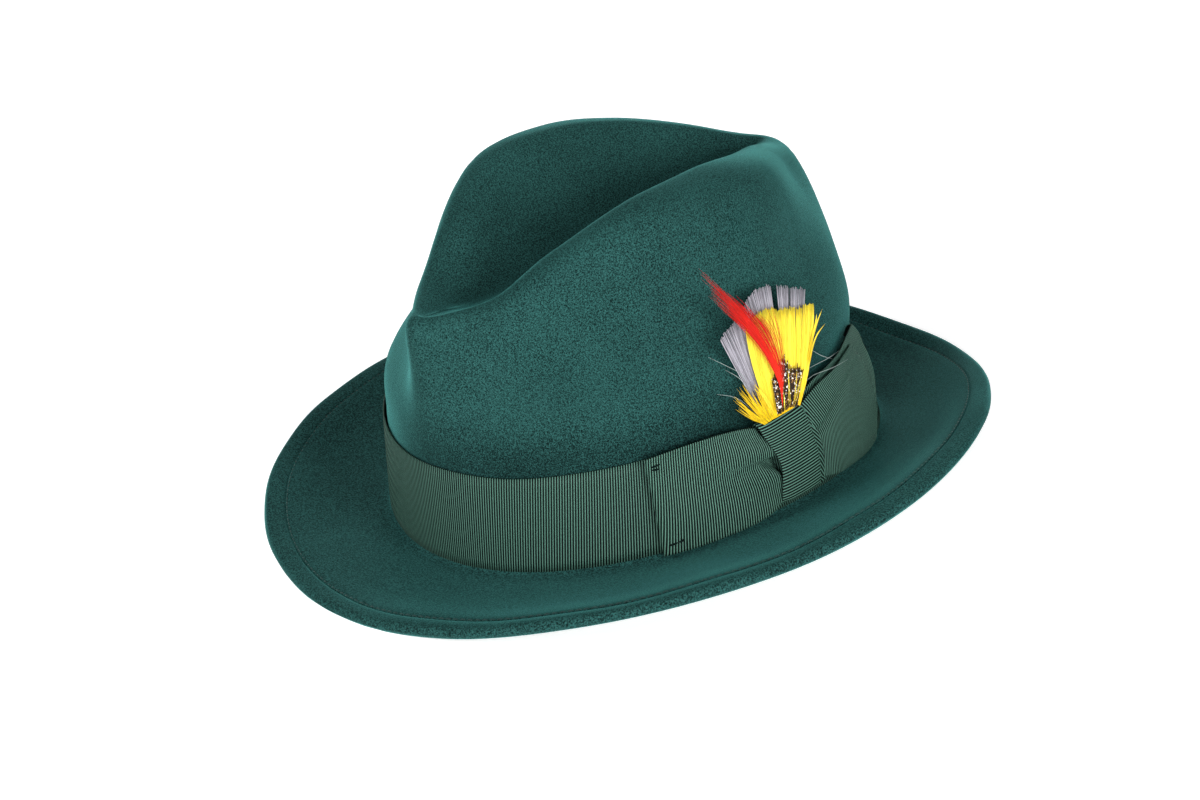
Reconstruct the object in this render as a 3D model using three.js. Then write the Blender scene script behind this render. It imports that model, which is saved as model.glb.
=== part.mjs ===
// Felt hat with a centre dent, a pinched front, a stitched brim, a ribbed band, a flat bow and feathers.
// Units are millimetres. +Z is up, -Y is the front of the hat and +X is the wearer's left.
// The hat rests on its brim on the plane z = 0, with the middle of its outline at the origin.

import * as THREE from 'three';
import { mergeVertices } from 'three/addons/utils/BufferGeometryUtils.js';

// Head oval, measured over the band
const HEAD_LENGTH = 208;
const HEAD_WIDTH = 174.6;
const FRONT_FULLNESS = 0.03;
const BREAK_LIFT = 7.2;
const SIDE_RISE = 4.1;

// Felt and ribbon thickness, and the gap kept between pieces
const FELT = 2.2;
const RIBBON = 0.9;
const GAP = 0.4;

// Band height, and how far the crown draws in over that height
const BAND_HEIGHT = 37.7;
const DRAW_IN_LENGTH = 5.9;
const DRAW_IN_WIDTH = 4.8;
const LEAN_FORWARD = 4.9;

// Brim edge, folded under and stitched
const EDGE_RADIUS = 2.3;
const SEAM_INSET = 8.3;
const HEM_WIDTH = 9.5;
const GROOVE_DEPTH = 0.4;

// Columns around the hat, and the spacing in degrees of the rows in the shape table
const AROUND = 64;
const STATION_STEP = 20;

// One row every 20 degrees from the front to the back. Both sides of the hat are alike.
// Heights are above the mean height of the band's lower edge.
const SHAPE_COLUMNS = [
  'ridgeX', 'ridgeY', 'ridgeZ', 'outerRoll', 'innerRoll', 'belly', 'scoop',
  'valleyY', 'valleyZ', 'brimWidth', 'brimRise', 'seamRise',
];
const SHAPE_ROWS = [
  [0.0, -98.5, 92.6, 5, 3, 0.3, 0.0, -88, 91, 50.3, -6.2, -4.4],
  [6.5, -91.5, 92.4, 4.5, 2.5, 1.4, 2.0, -83, 90, 49.6, -3.3, -1.7],
  [18.8, -75.0, 96.5, 7, 6, 4.0, 3.6, -71, 88, 48.0, 2.6, 3.6],
  [27.7, -55.0, 109.6, 10, 8, 5.4, 4.4, -52, 89, 46.3, 6.6, 7.6],
  [40.3, -26.0, 122.8, 14, 8, 5.0, 3.4, -26, 93, 45.4, 8.6, 10.2],
  [39.1, 6.0, 124.4, 24, 8, 4.6, 2.0, 4, 97, 45.0, 10.8, 13.4],
  [32.7, 32.0, 120.2, 20, 8, 4.6, -0.4, 28, 99, 44.6, 11.8, 14.4],
  [17.8, 56.0, 113.0, 15, 7, 5.4, -5.2, 48, 101, 43.9, 9.2, 11.2],
  [8.0, 72.0, 106.8, 14, 5, 1.7, -4.2, 60, 101, 43.1, 3.0, 3.3],
  [0.0, 78.0, 105.6, 9, 4, 1.0, -0.8, 65, 101, 42.7, -0.2, -0.9],
];

// Bow on the wearer's left. Angles are counted from the front, heights are parts of the band's height,
// and puff is how far the ribbon stands out from the band. A pleat draws it in at mid height.
const BOW_COLUMNS = ['angle', 'low', 'high', 'puff', 'pleat'];
const BOW_LEAN = 9;
const FRONT_LOOP_ROWS = [
  [57.4, 0.0, 1.03, 2.6, 0.0],
  [64.0, 0.0, 1.06, 3.6, 0.0],
  [71.0, 0.01, 1.07, 4.2, 0.4],
  [77.0, 0.03, 1.05, 4.8, 1.2],
  [82.0, 0.07, 1.0, 4.8, 2.2],
  [84.4, 0.12, 0.96, 4.0, 2.0],
];
const BACK_LOOP_ROWS = [
  [99.2, 0.13, 1.03, 4.2, 0.8],
  [104.0, 0.1, 1.11, 5.0, 0.6],
  [110.0, 0.09, 1.15, 5.2, 0.2],
  [117.0, 0.09, 1.21, 5.0, 0.0],
  [123.0, 0.1, 1.28, 4.8, 0.0],
  [128.0, 0.18, 1.3, 4.4, 0.0],
  [131.5, 0.3, 1.12, 4.2, 0.0],
  [133.5, 0.5, 0.96, 3.8, 0.0],
];
const KNOT_ROWS = [
  [85.0, 0.15, 0.95, 5.2, 0.0],
  [87.0, 0.13, 0.99, 6.4, 0.0],
  [92.0, 0.12, 1.0, 6.8, 0.0],
  [96.6, 0.12, 1.0, 6.4, 0.0],
  [98.6, 0.14, 1.0, 5.2, 0.0],
];

// Feathers lie in flat layers that lean with the crown, counted outwards from it.
// Foot and tips are places in that leaning plane: across to the rear, and up.
const FEATHER_ANGLE = 93;
const FEATHER_LEAN = 16;
const FEATHER_STAND_OFF = 3.4;
const FEATHER_THICKNESS = 0.8;
const FEATHER_LAYER = 1.2;
const FEATHER_FOOT = 0.8;
const VANES = [
  {
    name: 'feather_grey_back', layer: 0, colour: '#aaaaad', foot: [-2.2, 6.4],
    tips: [[-5, 43.2], [10.6, 45.2], [26, 37.6]], locks: 4, notch: 9,
  },
  {
    name: 'feather_grey_left', layer: 1, colour: '#a3a0a7', foot: [-13.4, -9.6],
    tips: [[-22.6, 35.6], [-16, 38.6], [-9.8, 38.2]], locks: 3, notch: 3,
  },
  {
    name: 'feather_yellow', layer: 2, colour: '#fbf75d', foot: [-9, 4.6],
    tips: [[-10.8, 35], [7.6, 38], [25.8, 31.8]], locks: 6, notch: 2,
  },
  {
    name: 'feather_speckled', layer: 3, colour: '#4a3320', foot: [-8, 1.8],
    tips: [[-5.4, 14.6], [2.6, 19.2], [10.2, 11.4]], locks: 3, notch: 4,
  },
  {
    name: 'feather_tuft', layer: 3, colour: '#ccb130', foot: [-15.4, -10.4],
    tips: [[-25.4, 10], [-21.8, 15.4], [-14.2, 15.6]], locks: 4, notch: 5,
  },
];

// The red hackle is a long narrow vane: height, middle and half width
const HACKLE_LAYER = 4;
const HACKLE_ROWS = [
  { up: FEATHER_FOOT, middle: -5.4, half: 0.8 },
  { up: 10.5, middle: -4.8, half: 0.9 },
  { up: 15.6, middle: -3.6, half: 1.8 },
  { up: 20.3, middle: -2.7, half: 3.1 },
  { up: 25, middle: -2.3, half: 4.6 },
  { up: 31, middle: -3.6, half: 5.3 },
  { up: 35.7, middle: -6.8, half: 5.5 },
  { up: 41, middle: -10.5, half: 5.0 },
  { up: 46.6, middle: -14.4, half: 4.8 },
  { up: 51, middle: -18.0, half: 4.4 },
  { up: 55, middle: -21.6, half: 1.8 },
  { up: 61.7, middle: -24.5, half: 0.4 },
];

// The table's angles as radians, and the shift that centres the outline on the origin
const radians = THREE.MathUtils.degToRad;
const frontWidth = SHAPE_ROWS[0][SHAPE_COLUMNS.indexOf('brimWidth')];
const backWidth = SHAPE_ROWS.at(-1)[SHAPE_COLUMNS.indexOf('brimWidth')];
const CENTRE_Y = (frontWidth - backWidth) / 2;

// Cubic curve through b and c that takes its slopes from a and d
function hermite(a, b, c, d, t) {
  const slopeB = (c - a) / 2;
  const slopeC = (d - b) / 2;
  const rise = 3 * (c - b) - 2 * slopeB - slopeC;
  const bend = 2 * (b - c) + slopeB + slopeC;
  return b + t * (slopeB + t * (rise + t * bend));
}

// Shape values at one angle. The rows carry on past both ends as their own mirror image.
function shapeAt(angle) {
  const turn = Math.atan2(Math.sin(angle), Math.cos(angle));
  const place = Math.abs(THREE.MathUtils.radToDeg(turn)) / STATION_STEP;
  const last = SHAPE_ROWS.length - 1;
  const first = Math.min(Math.floor(place), last - 1);
  const rowAt = (i) => SHAPE_ROWS[i < 0 ? -i : i > last ? 2 * last - i : i];
  const shape = {};
  SHAPE_COLUMNS.forEach((name, column) => {
    const mirror = name === 'ridgeX' ? -1 : 1;
    const before = rowAt(first - 1)[column] * (first === 0 ? mirror : 1);
    const after = rowAt(first + 2)[column] * (first + 2 > last ? mirror : 1);
    const value = hermite(before, rowAt(first)[column], rowAt(first + 1)[column], after, place - first);
    shape[name] = name === 'ridgeX' && turn < 0 ? -value : value;
  });
  return shape;
}

// Head oval at the band's lower edge, drawn in and shifted for higher levels
function ovalPoint(angle, drawLength = 0, drawWidth = 0, shift = 0) {
  const x = (HEAD_WIDTH / 2 - drawWidth) * Math.sin(angle) * (1 + FRONT_FULLNESS * Math.cos(angle));
  const y = -(HEAD_LENGTH / 2 - drawLength) * Math.cos(angle) + shift;
  return new THREE.Vector3(x, y, 0);
}

// Outward direction of the oval in plan
function ovalNormal(angle) {
  const step = 1e-4;
  const along = ovalPoint(angle + step).sub(ovalPoint(angle - step));
  return new THREE.Vector3(along.y, -along.x, 0).normalize();
}

// Height of the band's lower edge, which follows the brim: low in front and at the back
function bandFoot(angle) {
  return BREAK_LIFT - SIDE_RISE * Math.cos(2 * angle);
}

// Point on the band: height as a part of the band's height, out as the distance from its outer face
function bandPoint(angle, height, out) {
  const low = ovalPoint(angle);
  const high = ovalPoint(angle, DRAW_IN_LENGTH, DRAW_IN_WIDTH, -LEAN_FORWARD);
  const point = low.lerp(high, height).addScaledVector(ovalNormal(angle), out);
  point.z = bandFoot(angle) + BAND_HEIGHT * height;
  return point;
}

// Direction in plan across the ridge, pointing away from the dent
function ridgeOutward(angle) {
  const step = 1e-3;
  const a = shapeAt(angle - step);
  const b = shapeAt(angle + step);
  return new THREE.Vector3(b.ridgeY - a.ridgeY, a.ridgeX - b.ridgeX, 0).normalize();
}

// Point on the rounded crest of the ridge, tilt degrees above the level, outwards or inwards
function crestPoint(angle, radius, tilt, side) {
  const shape = shapeAt(angle);
  const crest = new THREE.Vector3(shape.ridgeX, shape.ridgeY, BREAK_LIFT + shape.ridgeZ);
  crest.addScaledVector(ridgeOutward(angle), side * radius * Math.cos(radians(tilt)));
  crest.z += radius * (Math.sin(radians(tilt)) - 1);
  return crest;
}

// Guide points of the crown's outer face at one angle, from the band's upper edge to the valley
function crownGuides(angle) {
  const shape = shapeAt(angle);
  const outward = ovalNormal(angle);
  const bandTop = bandPoint(angle, 1, -RIBBON - GAP);
  const shoulder = crestPoint(angle, shape.outerRoll, 15, 1);
  const lip = crestPoint(angle, shape.innerRoll, 55, -1);
  const valley = new THREE.Vector3(0, shape.valleyY, BREAK_LIFT + shape.valleyZ);
  const wall = lip.clone().lerp(valley, 0.4);
  wall.z = THREE.MathUtils.lerp(lip.z, valley.z, 0.55);
  const floor = lip.clone().lerp(valley, 0.8);
  floor.z = THREE.MathUtils.lerp(lip.z, valley.z, 0.96);
  return [
    bandTop,
    bandTop.clone().lerp(shoulder, 0.27).addScaledVector(outward, shape.belly),
    bandTop.clone().lerp(shoulder, 0.62).addScaledVector(outward, -shape.scoop),
    shoulder,
    crestPoint(angle, shape.outerRoll, 55, 1),
    crestPoint(angle, 0, 90, 1),
    lip,
    wall,
    floor,
    valley,
  ];
}
const CROWN_STEPS = [2, 3, 3, 1, 1, 1, 2, 2, 1];

// Point beside the head oval: out from it in plan, at a height above the plane z = 0
function besideOval(angle, out, height) {
  const point = ovalPoint(angle).addScaledVector(ovalNormal(angle), out);
  point.z = height;
  return point;
}

// Guide points of the brim's top face at one angle, from its edge to the foot of the crown
function brimGuides(angle) {
  const shape = shapeAt(angle);
  const width = shape.brimWidth;
  const edge = BREAK_LIFT + shape.brimRise;
  const seam = BREAK_LIFT + shape.seamRise;
  const fold = bandFoot(angle) - 1.5;
  return [
    besideOval(angle, width, edge),
    besideOval(angle, width - 1.2, edge + 0.85 * EDGE_RADIUS),
    besideOval(angle, width - 3.5, edge + EDGE_RADIUS),
    besideOval(angle, width - SEAM_INSET + 1, seam + 0.1),
    besideOval(angle, width - SEAM_INSET, seam - GROOVE_DEPTH),
    besideOval(angle, width - SEAM_INSET - 1, seam + 0.1),
    besideOval(angle, width * 0.55, THREE.MathUtils.lerp(fold, seam, 0.5)),
    besideOval(angle, width * 0.25, THREE.MathUtils.lerp(fold, seam, 0.1)),
    besideOval(angle, 2.5, fold),
    besideOval(angle, 0, fold + 0.8),
    bandPoint(angle, 0.05, -RIBBON - GAP),
  ];
}
const BRIM_STEPS = [1, 1, 1, 1, 1, 2, 2, 1, 1, 1];

// Underside of the folded edge at one angle, from the edge to the hem's inner end
function hemGuides(angle) {
  const shape = shapeAt(angle);
  const width = shape.brimWidth;
  const edge = BREAK_LIFT + shape.brimRise;
  const seam = BREAK_LIFT + shape.seamRise;
  return [
    besideOval(angle, width - 1.2, edge - 0.85 * EDGE_RADIUS),
    besideOval(angle, width - 3.5, edge - EDGE_RADIUS),
    besideOval(angle, width - HEM_WIDTH, seam - 2 * FELT),
    besideOval(angle, width - HEM_WIDTH - 0.6, seam - FELT - 0.3),
  ];
}

// Samples of a smooth curve through the guide points, with a number of steps for each stretch
function alongGuides(guides, steps) {
  const curve = new THREE.CatmullRomCurve3(guides, false, 'centripetal');
  const points = [guides[0]];
  steps.forEach((count, stretch) => {
    for (let k = 1; k <= count; k += 1) {
      points.push(curve.getPoint((stretch + k / count) / steps.length));
    }
  });
  return points;
}

// Closed solid from rows of points, each row a closed ring. The two end rows are joined to each other,
// capped with a fan, or zipped: a zipped row is flat, and its two halves share their points.
function ringSolid(rows, ends) {
  const count = rows[0].length;
  const positions = rows.flat().flatMap((point) => point.toArray());
  const zipped = (i) => ends === 'zipped' && (i === 0 || i === rows.length - 1);
  const at = (i, j) => i * count + (zipped(i) ? Math.min(j % count, count - (j % count)) : j % count);
  const index = [];
  const bands = ends === 'joined' ? rows.length : rows.length - 1;
  for (let i = 0; i < bands; i += 1) {
    const next = (i + 1) % rows.length;
    for (let j = 0; j < count; j += 1) {
      index.push(at(i, j), at(i, j + 1), at(next, j + 1));
      index.push(at(i, j), at(next, j + 1), at(next, j));
    }
  }
  if (ends === 'capped') {
    [0, rows.length - 1].forEach((i) => {
      const middle = new THREE.Vector3();
      rows[i].forEach((point) => middle.addScaledVector(point, 1 / count));
      positions.push(...middle.toArray());
      const centre = positions.length / 3 - 1;
      for (let j = 0; j < count; j += 1) {
        const pair = i === 0 ? [at(i, j + 1), at(i, j)] : [at(i, j), at(i, j + 1)];
        index.push(centre, ...pair);
      }
    });
  }
  const geometry = new THREE.BufferGeometry();
  geometry.setAttribute('position', new THREE.Float32BufferAttribute(positions, 3));
  geometry.setIndex(index);
  return faceOutward(mergeVertices(geometry, 1e-4));
}

// Six times the volume, positive where the faces point outward
function signedVolume(geometry) {
  const index = geometry.getIndex();
  const position = geometry.getAttribute('position');
  const corner = (k) => new THREE.Vector3().fromBufferAttribute(position, index.getX(k));
  let volume = 0;
  for (let k = 0; k < index.count; k += 3) {
    volume += corner(k).dot(corner(k + 1).cross(corner(k + 2)));
  }
  return volume;
}

// The same geometry with every face turned over if they pointed inward
function faceOutward(geometry) {
  if (signedVolume(geometry) < 0) {
    geometry.setIndex(Array.from(geometry.getIndex().array).reverse());
  }
  geometry.computeVertexNormals();
  return geometry;
}

// Angles of the columns around the hat, counter-clockwise from the front
const angles = Array.from({ length: AROUND }, (_, j) => (2 * Math.PI * j) / AROUND);

// Rows of the felt's outer face, from the valley over the ridge and down to the brim's edge
function outerFace() {
  const columns = angles.map((angle) => {
    const crown = alongGuides(crownGuides(angle), CROWN_STEPS).reverse();
    const brim = alongGuides(brimGuides(angle), BRIM_STEPS).reverse();
    return [...crown, ...brim];
  });
  return columns[0].map((_, row) => columns.map((column) => column[row]));
}

// Rows one felt thickness inside the outer face, from the given row up to the valley
function innerFace(outer, lastRow) {
  const count = outer[0].length;
  const geometry = new THREE.BufferGeometry();
  const positions = outer.flat().flatMap((point) => point.toArray());
  geometry.setAttribute('position', new THREE.Float32BufferAttribute(positions, 3));
  const at = (i, j) => i * count + (i === 0 ? Math.min(j % count, count - (j % count)) : j % count);
  const index = [];
  for (let i = 0; i < outer.length - 1; i += 1) {
    for (let j = 0; j < count; j += 1) {
      index.push(at(i, j), at(i + 1, j), at(i + 1, j + 1));
      index.push(at(i, j), at(i + 1, j + 1), at(i, j + 1));
    }
  }
  geometry.setIndex(index);
  geometry.computeVertexNormals();
  const normals = geometry.getAttribute('normal');
  const rows = [];
  for (let i = lastRow; i >= 0; i -= 1) {
    rows.push(outer[i].map((point, j) => {
      const normal = new THREE.Vector3().fromBufferAttribute(normals, at(i, j));
      return point.clone().addScaledVector(normal, -FELT);
    }));
  }
  return rows;
}

// Crown and brim in one piece of felt, pressed flat where it rests
function feltBody() {
  const outer = outerFace();
  const columns = angles.map((angle) => hemGuides(angle));
  const hem = columns[0].map((_, row) => columns.map((column) => column[row]));
  const seamRows = BRIM_STEPS.slice(0, 6).reduce((sum, count) => sum + count, 0);
  const inner = innerFace(outer, outer.length - 1 - seamRows);
  [...hem, ...inner].flat().forEach((point) => {
    point.z = Math.max(point.z, 0);
  });
  return ringSolid([...outer, ...hem, ...inner], 'zipped');
}

// Ribbon band: a closed ring between the crown's foot and the height of the band
function hatBand() {
  const rows = angles.map((angle) => [
    bandPoint(angle, 0.06, -RIBBON),
    bandPoint(angle, 0, -0.2),
    bandPoint(angle, 0, 0),
    bandPoint(angle, 1, 0),
    bandPoint(angle, 1, -RIBBON),
  ]);
  return ringSolid(rows, 'joined');
}

// One piece of the bow, lofted through its rows. The outer face is fullest at mid height. Above the band
// the whole piece leans out, because the crown swells there.
function bowPiece(tableRows, fullness) {
  const heights = [0, 0.15, 0.35, 0.6, 0.85, 1];
  const rows = tableRows.map((values) => {
    const row = Object.fromEntries(BOW_COLUMNS.map((name, k) => [name, values[k]]));
    const angle = radians(row.angle);
    const heightAt = (t) => THREE.MathUtils.lerp(row.low, row.high, t);
    const leanAt = (t) => BOW_LEAN * Math.max(0, heightAt(t) - 1);
    const face = heights.map((t) => {
      const roundness = 1 - fullness * (2 * t - 1) ** 4;
      const pleat = row.pleat * Math.exp(-(((t - 0.6) / 0.12) ** 2));
      const out = GAP + (row.puff - GAP) * roundness - pleat + leanAt(t);
      return bandPoint(angle, heightAt(t), out);
    });
    const back = [1, 0.5, 0].map((t) => bandPoint(angle, heightAt(t), GAP + leanAt(t)));
    return [...face, ...back];
  });
  return ringSolid(rows, 'capped');
}

// A cut vane as a flat fan: straight sides from the foot to the tips, and a notched cut end
function vaneGeometry({ foot, tips, locks, notch }) {
  const [left, middle, right] = tips.map(([x, y]) => new THREE.Vector2(x, y));
  const control = middle.clone().multiplyScalar(2).sub(left.clone().add(right).multiplyScalar(0.5));
  const end = new THREE.QuadraticBezierCurve(left, control, right);
  const root = new THREE.Vector2((foot[0] + foot[1]) / 2, FEATHER_FOOT);
  const outline = [new THREE.Vector2(foot[1], FEATHER_FOOT), new THREE.Vector2(foot[0], FEATHER_FOOT)];
  for (let k = 0; k < locks; k += 1) {
    outline.push(end.getPoint(k / locks));
    outline.push(end.getPoint((k + 0.5) / locks));
    outline.push(end.getPoint((k + 0.96) / locks));
    if (k < locks - 1) {
      const split = end.getPoint((k + 0.98) / locks);
      outline.push(split.clone().sub(split.clone().sub(root).setLength(notch)));
    }
  }
  return new THREE.ExtrudeGeometry(new THREE.Shape(outline), {
    depth: FEATHER_THICKNESS, bevelEnabled: false,
  });
}

// The hackle's outline goes up its left side and down its right side
function hackleGeometry() {
  const left = HACKLE_ROWS.map(({ up, middle, half }) => new THREE.Vector2(middle - half, up));
  const right = HACKLE_ROWS.map(({ up, middle, half }) => new THREE.Vector2(middle + half, up)).reverse();
  return new THREE.ExtrudeGeometry(new THREE.Shape([...left, ...right]), {
    depth: FEATHER_THICKNESS, bevelEnabled: false,
  });
}

// Named mesh with its own matt material
function piece(name, geometry, colour, roughness) {
  const material = new THREE.MeshStandardMaterial({ color: colour, roughness, metalness: 0 });
  const mesh = new THREE.Mesh(geometry, material);
  mesh.name = name;
  return mesh;
}

// Group whose x runs to the rear along the hat's side, y up along the crown, and z away from it
function featherSpray() {
  const angle = radians(FEATHER_ANGLE);
  const lean = radians(FEATHER_LEAN);
  const outward = ovalNormal(angle);
  const up = new THREE.Vector3(0, 0, 1);
  const face = outward.clone().multiplyScalar(Math.cos(lean)).addScaledVector(up, Math.sin(lean));
  const rise = outward.clone().multiplyScalar(-Math.sin(lean)).addScaledVector(up, Math.cos(lean));
  const across = rise.clone().cross(face);
  const spray = new THREE.Group();
  spray.quaternion.setFromRotationMatrix(new THREE.Matrix4().makeBasis(across, rise, face));
  spray.position.copy(bandPoint(angle, 1, FEATHER_STAND_OFF));
  VANES.forEach((vane) => {
    const mesh = piece(vane.name, vaneGeometry(vane), vane.colour, 0.7);
    mesh.position.z = vane.layer * FEATHER_LAYER;
    spray.add(mesh);
  });
  const hackle = piece('feather_red', hackleGeometry(), '#f2331d', 0.6);
  hackle.position.z = HACKLE_LAYER * FEATHER_LAYER;
  spray.add(hackle);
  return spray;
}

const hat = new THREE.Group();
hat.position.y = CENTRE_Y;
hat.add(piece('felt_body', feltBody(), '#2d5955', 0.95));
hat.add(piece('hat_band', hatBand(), '#3c5b52', 0.8));
hat.add(piece('bow_front_loop', bowPiece(FRONT_LOOP_ROWS, 0.5), '#3e5b51', 0.8));
hat.add(piece('bow_back_loop', bowPiece(BACK_LOOP_ROWS, 0.5), '#3e6151', 0.8));
hat.add(piece('bow_knot', bowPiece(KNOT_ROWS, 0.35), '#3a574d', 0.8));
hat.add(featherSpray());

export default hat;
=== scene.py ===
import math

import bpy
import numpy as np
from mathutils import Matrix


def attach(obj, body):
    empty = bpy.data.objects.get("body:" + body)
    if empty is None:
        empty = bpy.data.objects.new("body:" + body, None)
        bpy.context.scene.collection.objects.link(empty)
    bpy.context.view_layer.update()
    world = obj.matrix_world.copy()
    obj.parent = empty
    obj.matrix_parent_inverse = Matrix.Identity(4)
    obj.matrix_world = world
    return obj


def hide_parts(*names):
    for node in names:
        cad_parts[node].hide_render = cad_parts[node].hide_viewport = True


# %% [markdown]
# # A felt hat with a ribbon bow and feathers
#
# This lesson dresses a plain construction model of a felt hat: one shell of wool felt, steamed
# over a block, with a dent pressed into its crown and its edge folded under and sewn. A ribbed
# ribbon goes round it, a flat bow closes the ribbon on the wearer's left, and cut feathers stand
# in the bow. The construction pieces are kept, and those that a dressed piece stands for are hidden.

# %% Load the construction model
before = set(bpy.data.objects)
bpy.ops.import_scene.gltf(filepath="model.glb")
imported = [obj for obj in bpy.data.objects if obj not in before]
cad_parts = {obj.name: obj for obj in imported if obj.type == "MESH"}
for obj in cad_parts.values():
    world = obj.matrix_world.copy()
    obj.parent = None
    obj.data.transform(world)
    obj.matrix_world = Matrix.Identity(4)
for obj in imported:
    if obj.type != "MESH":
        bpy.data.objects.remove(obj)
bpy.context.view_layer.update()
print("construction pieces:", sorted(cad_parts))

# %% [markdown]
# ## Sizes
#
# Shapes are worked out in millimetres, the unit a hatter uses, and turned into metres when a mesh
# is made. The head opening is an oval, a little fuller in front. The band stands on it, draws in
# towards its upper edge and leans forward. Angles go round the hat from the front (0) over the
# wearer's left (90) to the back (180).

# %% Sizes in millimetres
MM = 0.001
HEAD_LENGTH, HEAD_WIDTH, FRONT_FULLNESS = 208, 174.6, 0.03
BREAK_LIFT, SIDE_RISE = 7.2, 4.1
FELT, RIBBON, GAP = 2.2, 0.9, 0.4
BAND_HEIGHT, DRAW_IN_LENGTH, DRAW_IN_WIDTH, LEAN_FORWARD = 37.7, 5.9, 4.8, 4.9
EDGE_RADIUS, SEAM_INSET, HEM_WIDTH, GROOVE_DEPTH, FOLD_DROP = 2.3, 8.3, 9.5, 0.35, 1.5
CENTRE_Y = 3.8
UP = np.array([0.0, 0.0, 1.0])


def unit(vectors):
    """Vectors divided by their lengths."""
    return vectors / np.maximum(np.linalg.norm(vectors, axis=-1, keepdims=True), 1e-9)


def oval_point(angle, draw_length=0.0, draw_width=0.0, shift=0.0):
    """Oval in plan: x = half width * sin(angle), widened in front, and y = -half length * cos(angle)."""
    fullness = 1 + FRONT_FULLNESS * np.cos(angle)
    x = (HEAD_WIDTH / 2 - draw_width) * np.sin(angle) * fullness
    y = -(HEAD_LENGTH / 2 - draw_length) * np.cos(angle) + shift
    return np.stack([x, y, 0 * x], axis=-1)


def oval_normal(angle):
    """Outward direction in plan: the oval's tangent turned by a quarter."""
    along = oval_point(angle + 1e-4) - oval_point(angle - 1e-4)
    return unit(np.stack([along[..., 1], -along[..., 0], 0 * along[..., 0]], axis=-1))


def band_foot(angle):
    """Height of the band's lower edge: lowest in front and at the back, so a cosine of twice the angle."""
    return BREAK_LIFT - SIDE_RISE * np.cos(2 * angle)


def band_point(angle, height, out=0.0):
    """Point on the band: between its lower and upper oval by height (0 to 1), then outward by out."""
    angle, height, out = np.broadcast_arrays(np.asarray(angle, float), height, out)
    low = oval_point(angle)
    high = oval_point(angle, DRAW_IN_LENGTH, DRAW_IN_WIDTH, -LEAN_FORWARD)
    point = low + height[..., None] * (high - low) + out[..., None] * oval_normal(angle)
    point[..., 2] = band_foot(angle) + BAND_HEIGHT * height
    return point


# %% [markdown]
# ## From grids of points to meshes
#
# Every piece is a grid of points, a function of two parameters. A grid could be joined up vertex
# by vertex, but numpy gives all corner numbers at once: for a quad at row i and column j they are
# (i, j), (i, j+1), (i+1, j+1) and (i+1, j). The UV map keeps each point's own place on the piece,
# so that a row of ribs can follow it.


# %% Mesh helpers
def mix(a, b, t):
    """Straight mix of two arrays, a at t = 0 and b at t = 1."""
    return a + (b - a) * t


def smooth_step(value, low, high):
    """0 below low, 1 above high, and a smooth cubic between them."""
    t = np.clip((value - low) / (high - low), 0, 1)
    return t * t * (3 - 2 * t)


def bell(value, middle, width):
    """Bell curve: 1 at the middle and 0.37 at one width from it."""
    return np.exp(-((value - middle) / width) ** 2)


def smooth_cubic(start, end, start_slope, end_slope, t):
    """Cubic from start to end with those slopes, for t from 0 to 1."""
    return start + t * (start_slope + t * (3 * (end - start) - 2 * start_slope - end_slope
                                           + t * (2 * (start - end) + start_slope + end_slope)))


def lengths_along(line):
    """Length travelled along a line of points up to each of them."""
    return np.concatenate([[0], np.cumsum(np.linalg.norm(np.diff(line, axis=0), axis=1))])


def look_up(where, at, table):
    """All columns of a table read between its rows, which stand at the places called at."""
    return np.stack([np.interp(where, at, column) for column in table.T], axis=-1)


def grid_quads(rows, columns, wrap=False):
    """Corner numbers of a grid's quads. With wrap the last column is joined to the first."""
    i = np.arange(rows - 1)[:, None]
    j = np.arange(columns if wrap else columns - 1)[None, :]
    right = (j + 1) % columns
    return np.stack([i * columns + j, i * columns + right,
                     (i + 1) * columns + right, (i + 1) * columns + j], axis=-1).reshape(-1, 4)


def grid_normals(grid, wrap=False):
    """Cross product of the grid's two directions, each a difference of neighbours."""
    if wrap:
        across = np.roll(grid, -1, axis=1) - np.roll(grid, 1, axis=1)
    else:
        across = np.gradient(grid, axis=1)
    return unit(np.cross(across, np.gradient(grid, axis=0)))


def add_object(name, data):
    """New object in the scene that shows a mesh, camera or light."""
    thing = bpy.data.objects.new(name, data)
    bpy.context.scene.collection.objects.link(thing)
    return thing


def make_piece(name, points, faces, material, stands_for=(), uv=None):
    """Mesh object from millimetre points. uv is one pair for each corner of each face."""
    mesh = bpy.data.meshes.new(name)
    places = (np.asarray(points, float).reshape(-1, 3) + [0, CENTRE_Y, 0]) * MM
    mesh.from_pydata(places.tolist(), [], faces if isinstance(faces, list) else faces.tolist())
    if uv is not None:
        layer = mesh.uv_layers.new(name="Lay")
        layer.data.foreach_set("uv", np.asarray(uv, np.float32).ravel())
    mesh.polygons.foreach_set("use_smooth", np.ones(len(mesh.polygons), bool))
    mesh.update()
    mesh.materials.append(material)
    piece = add_object(name, mesh)
    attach(piece, "root")
    if stands_for:
        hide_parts(*stands_for)
    print(f"{name}: {len(mesh.vertices)} points, {len(mesh.polygons)} faces")
    return piece


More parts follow.
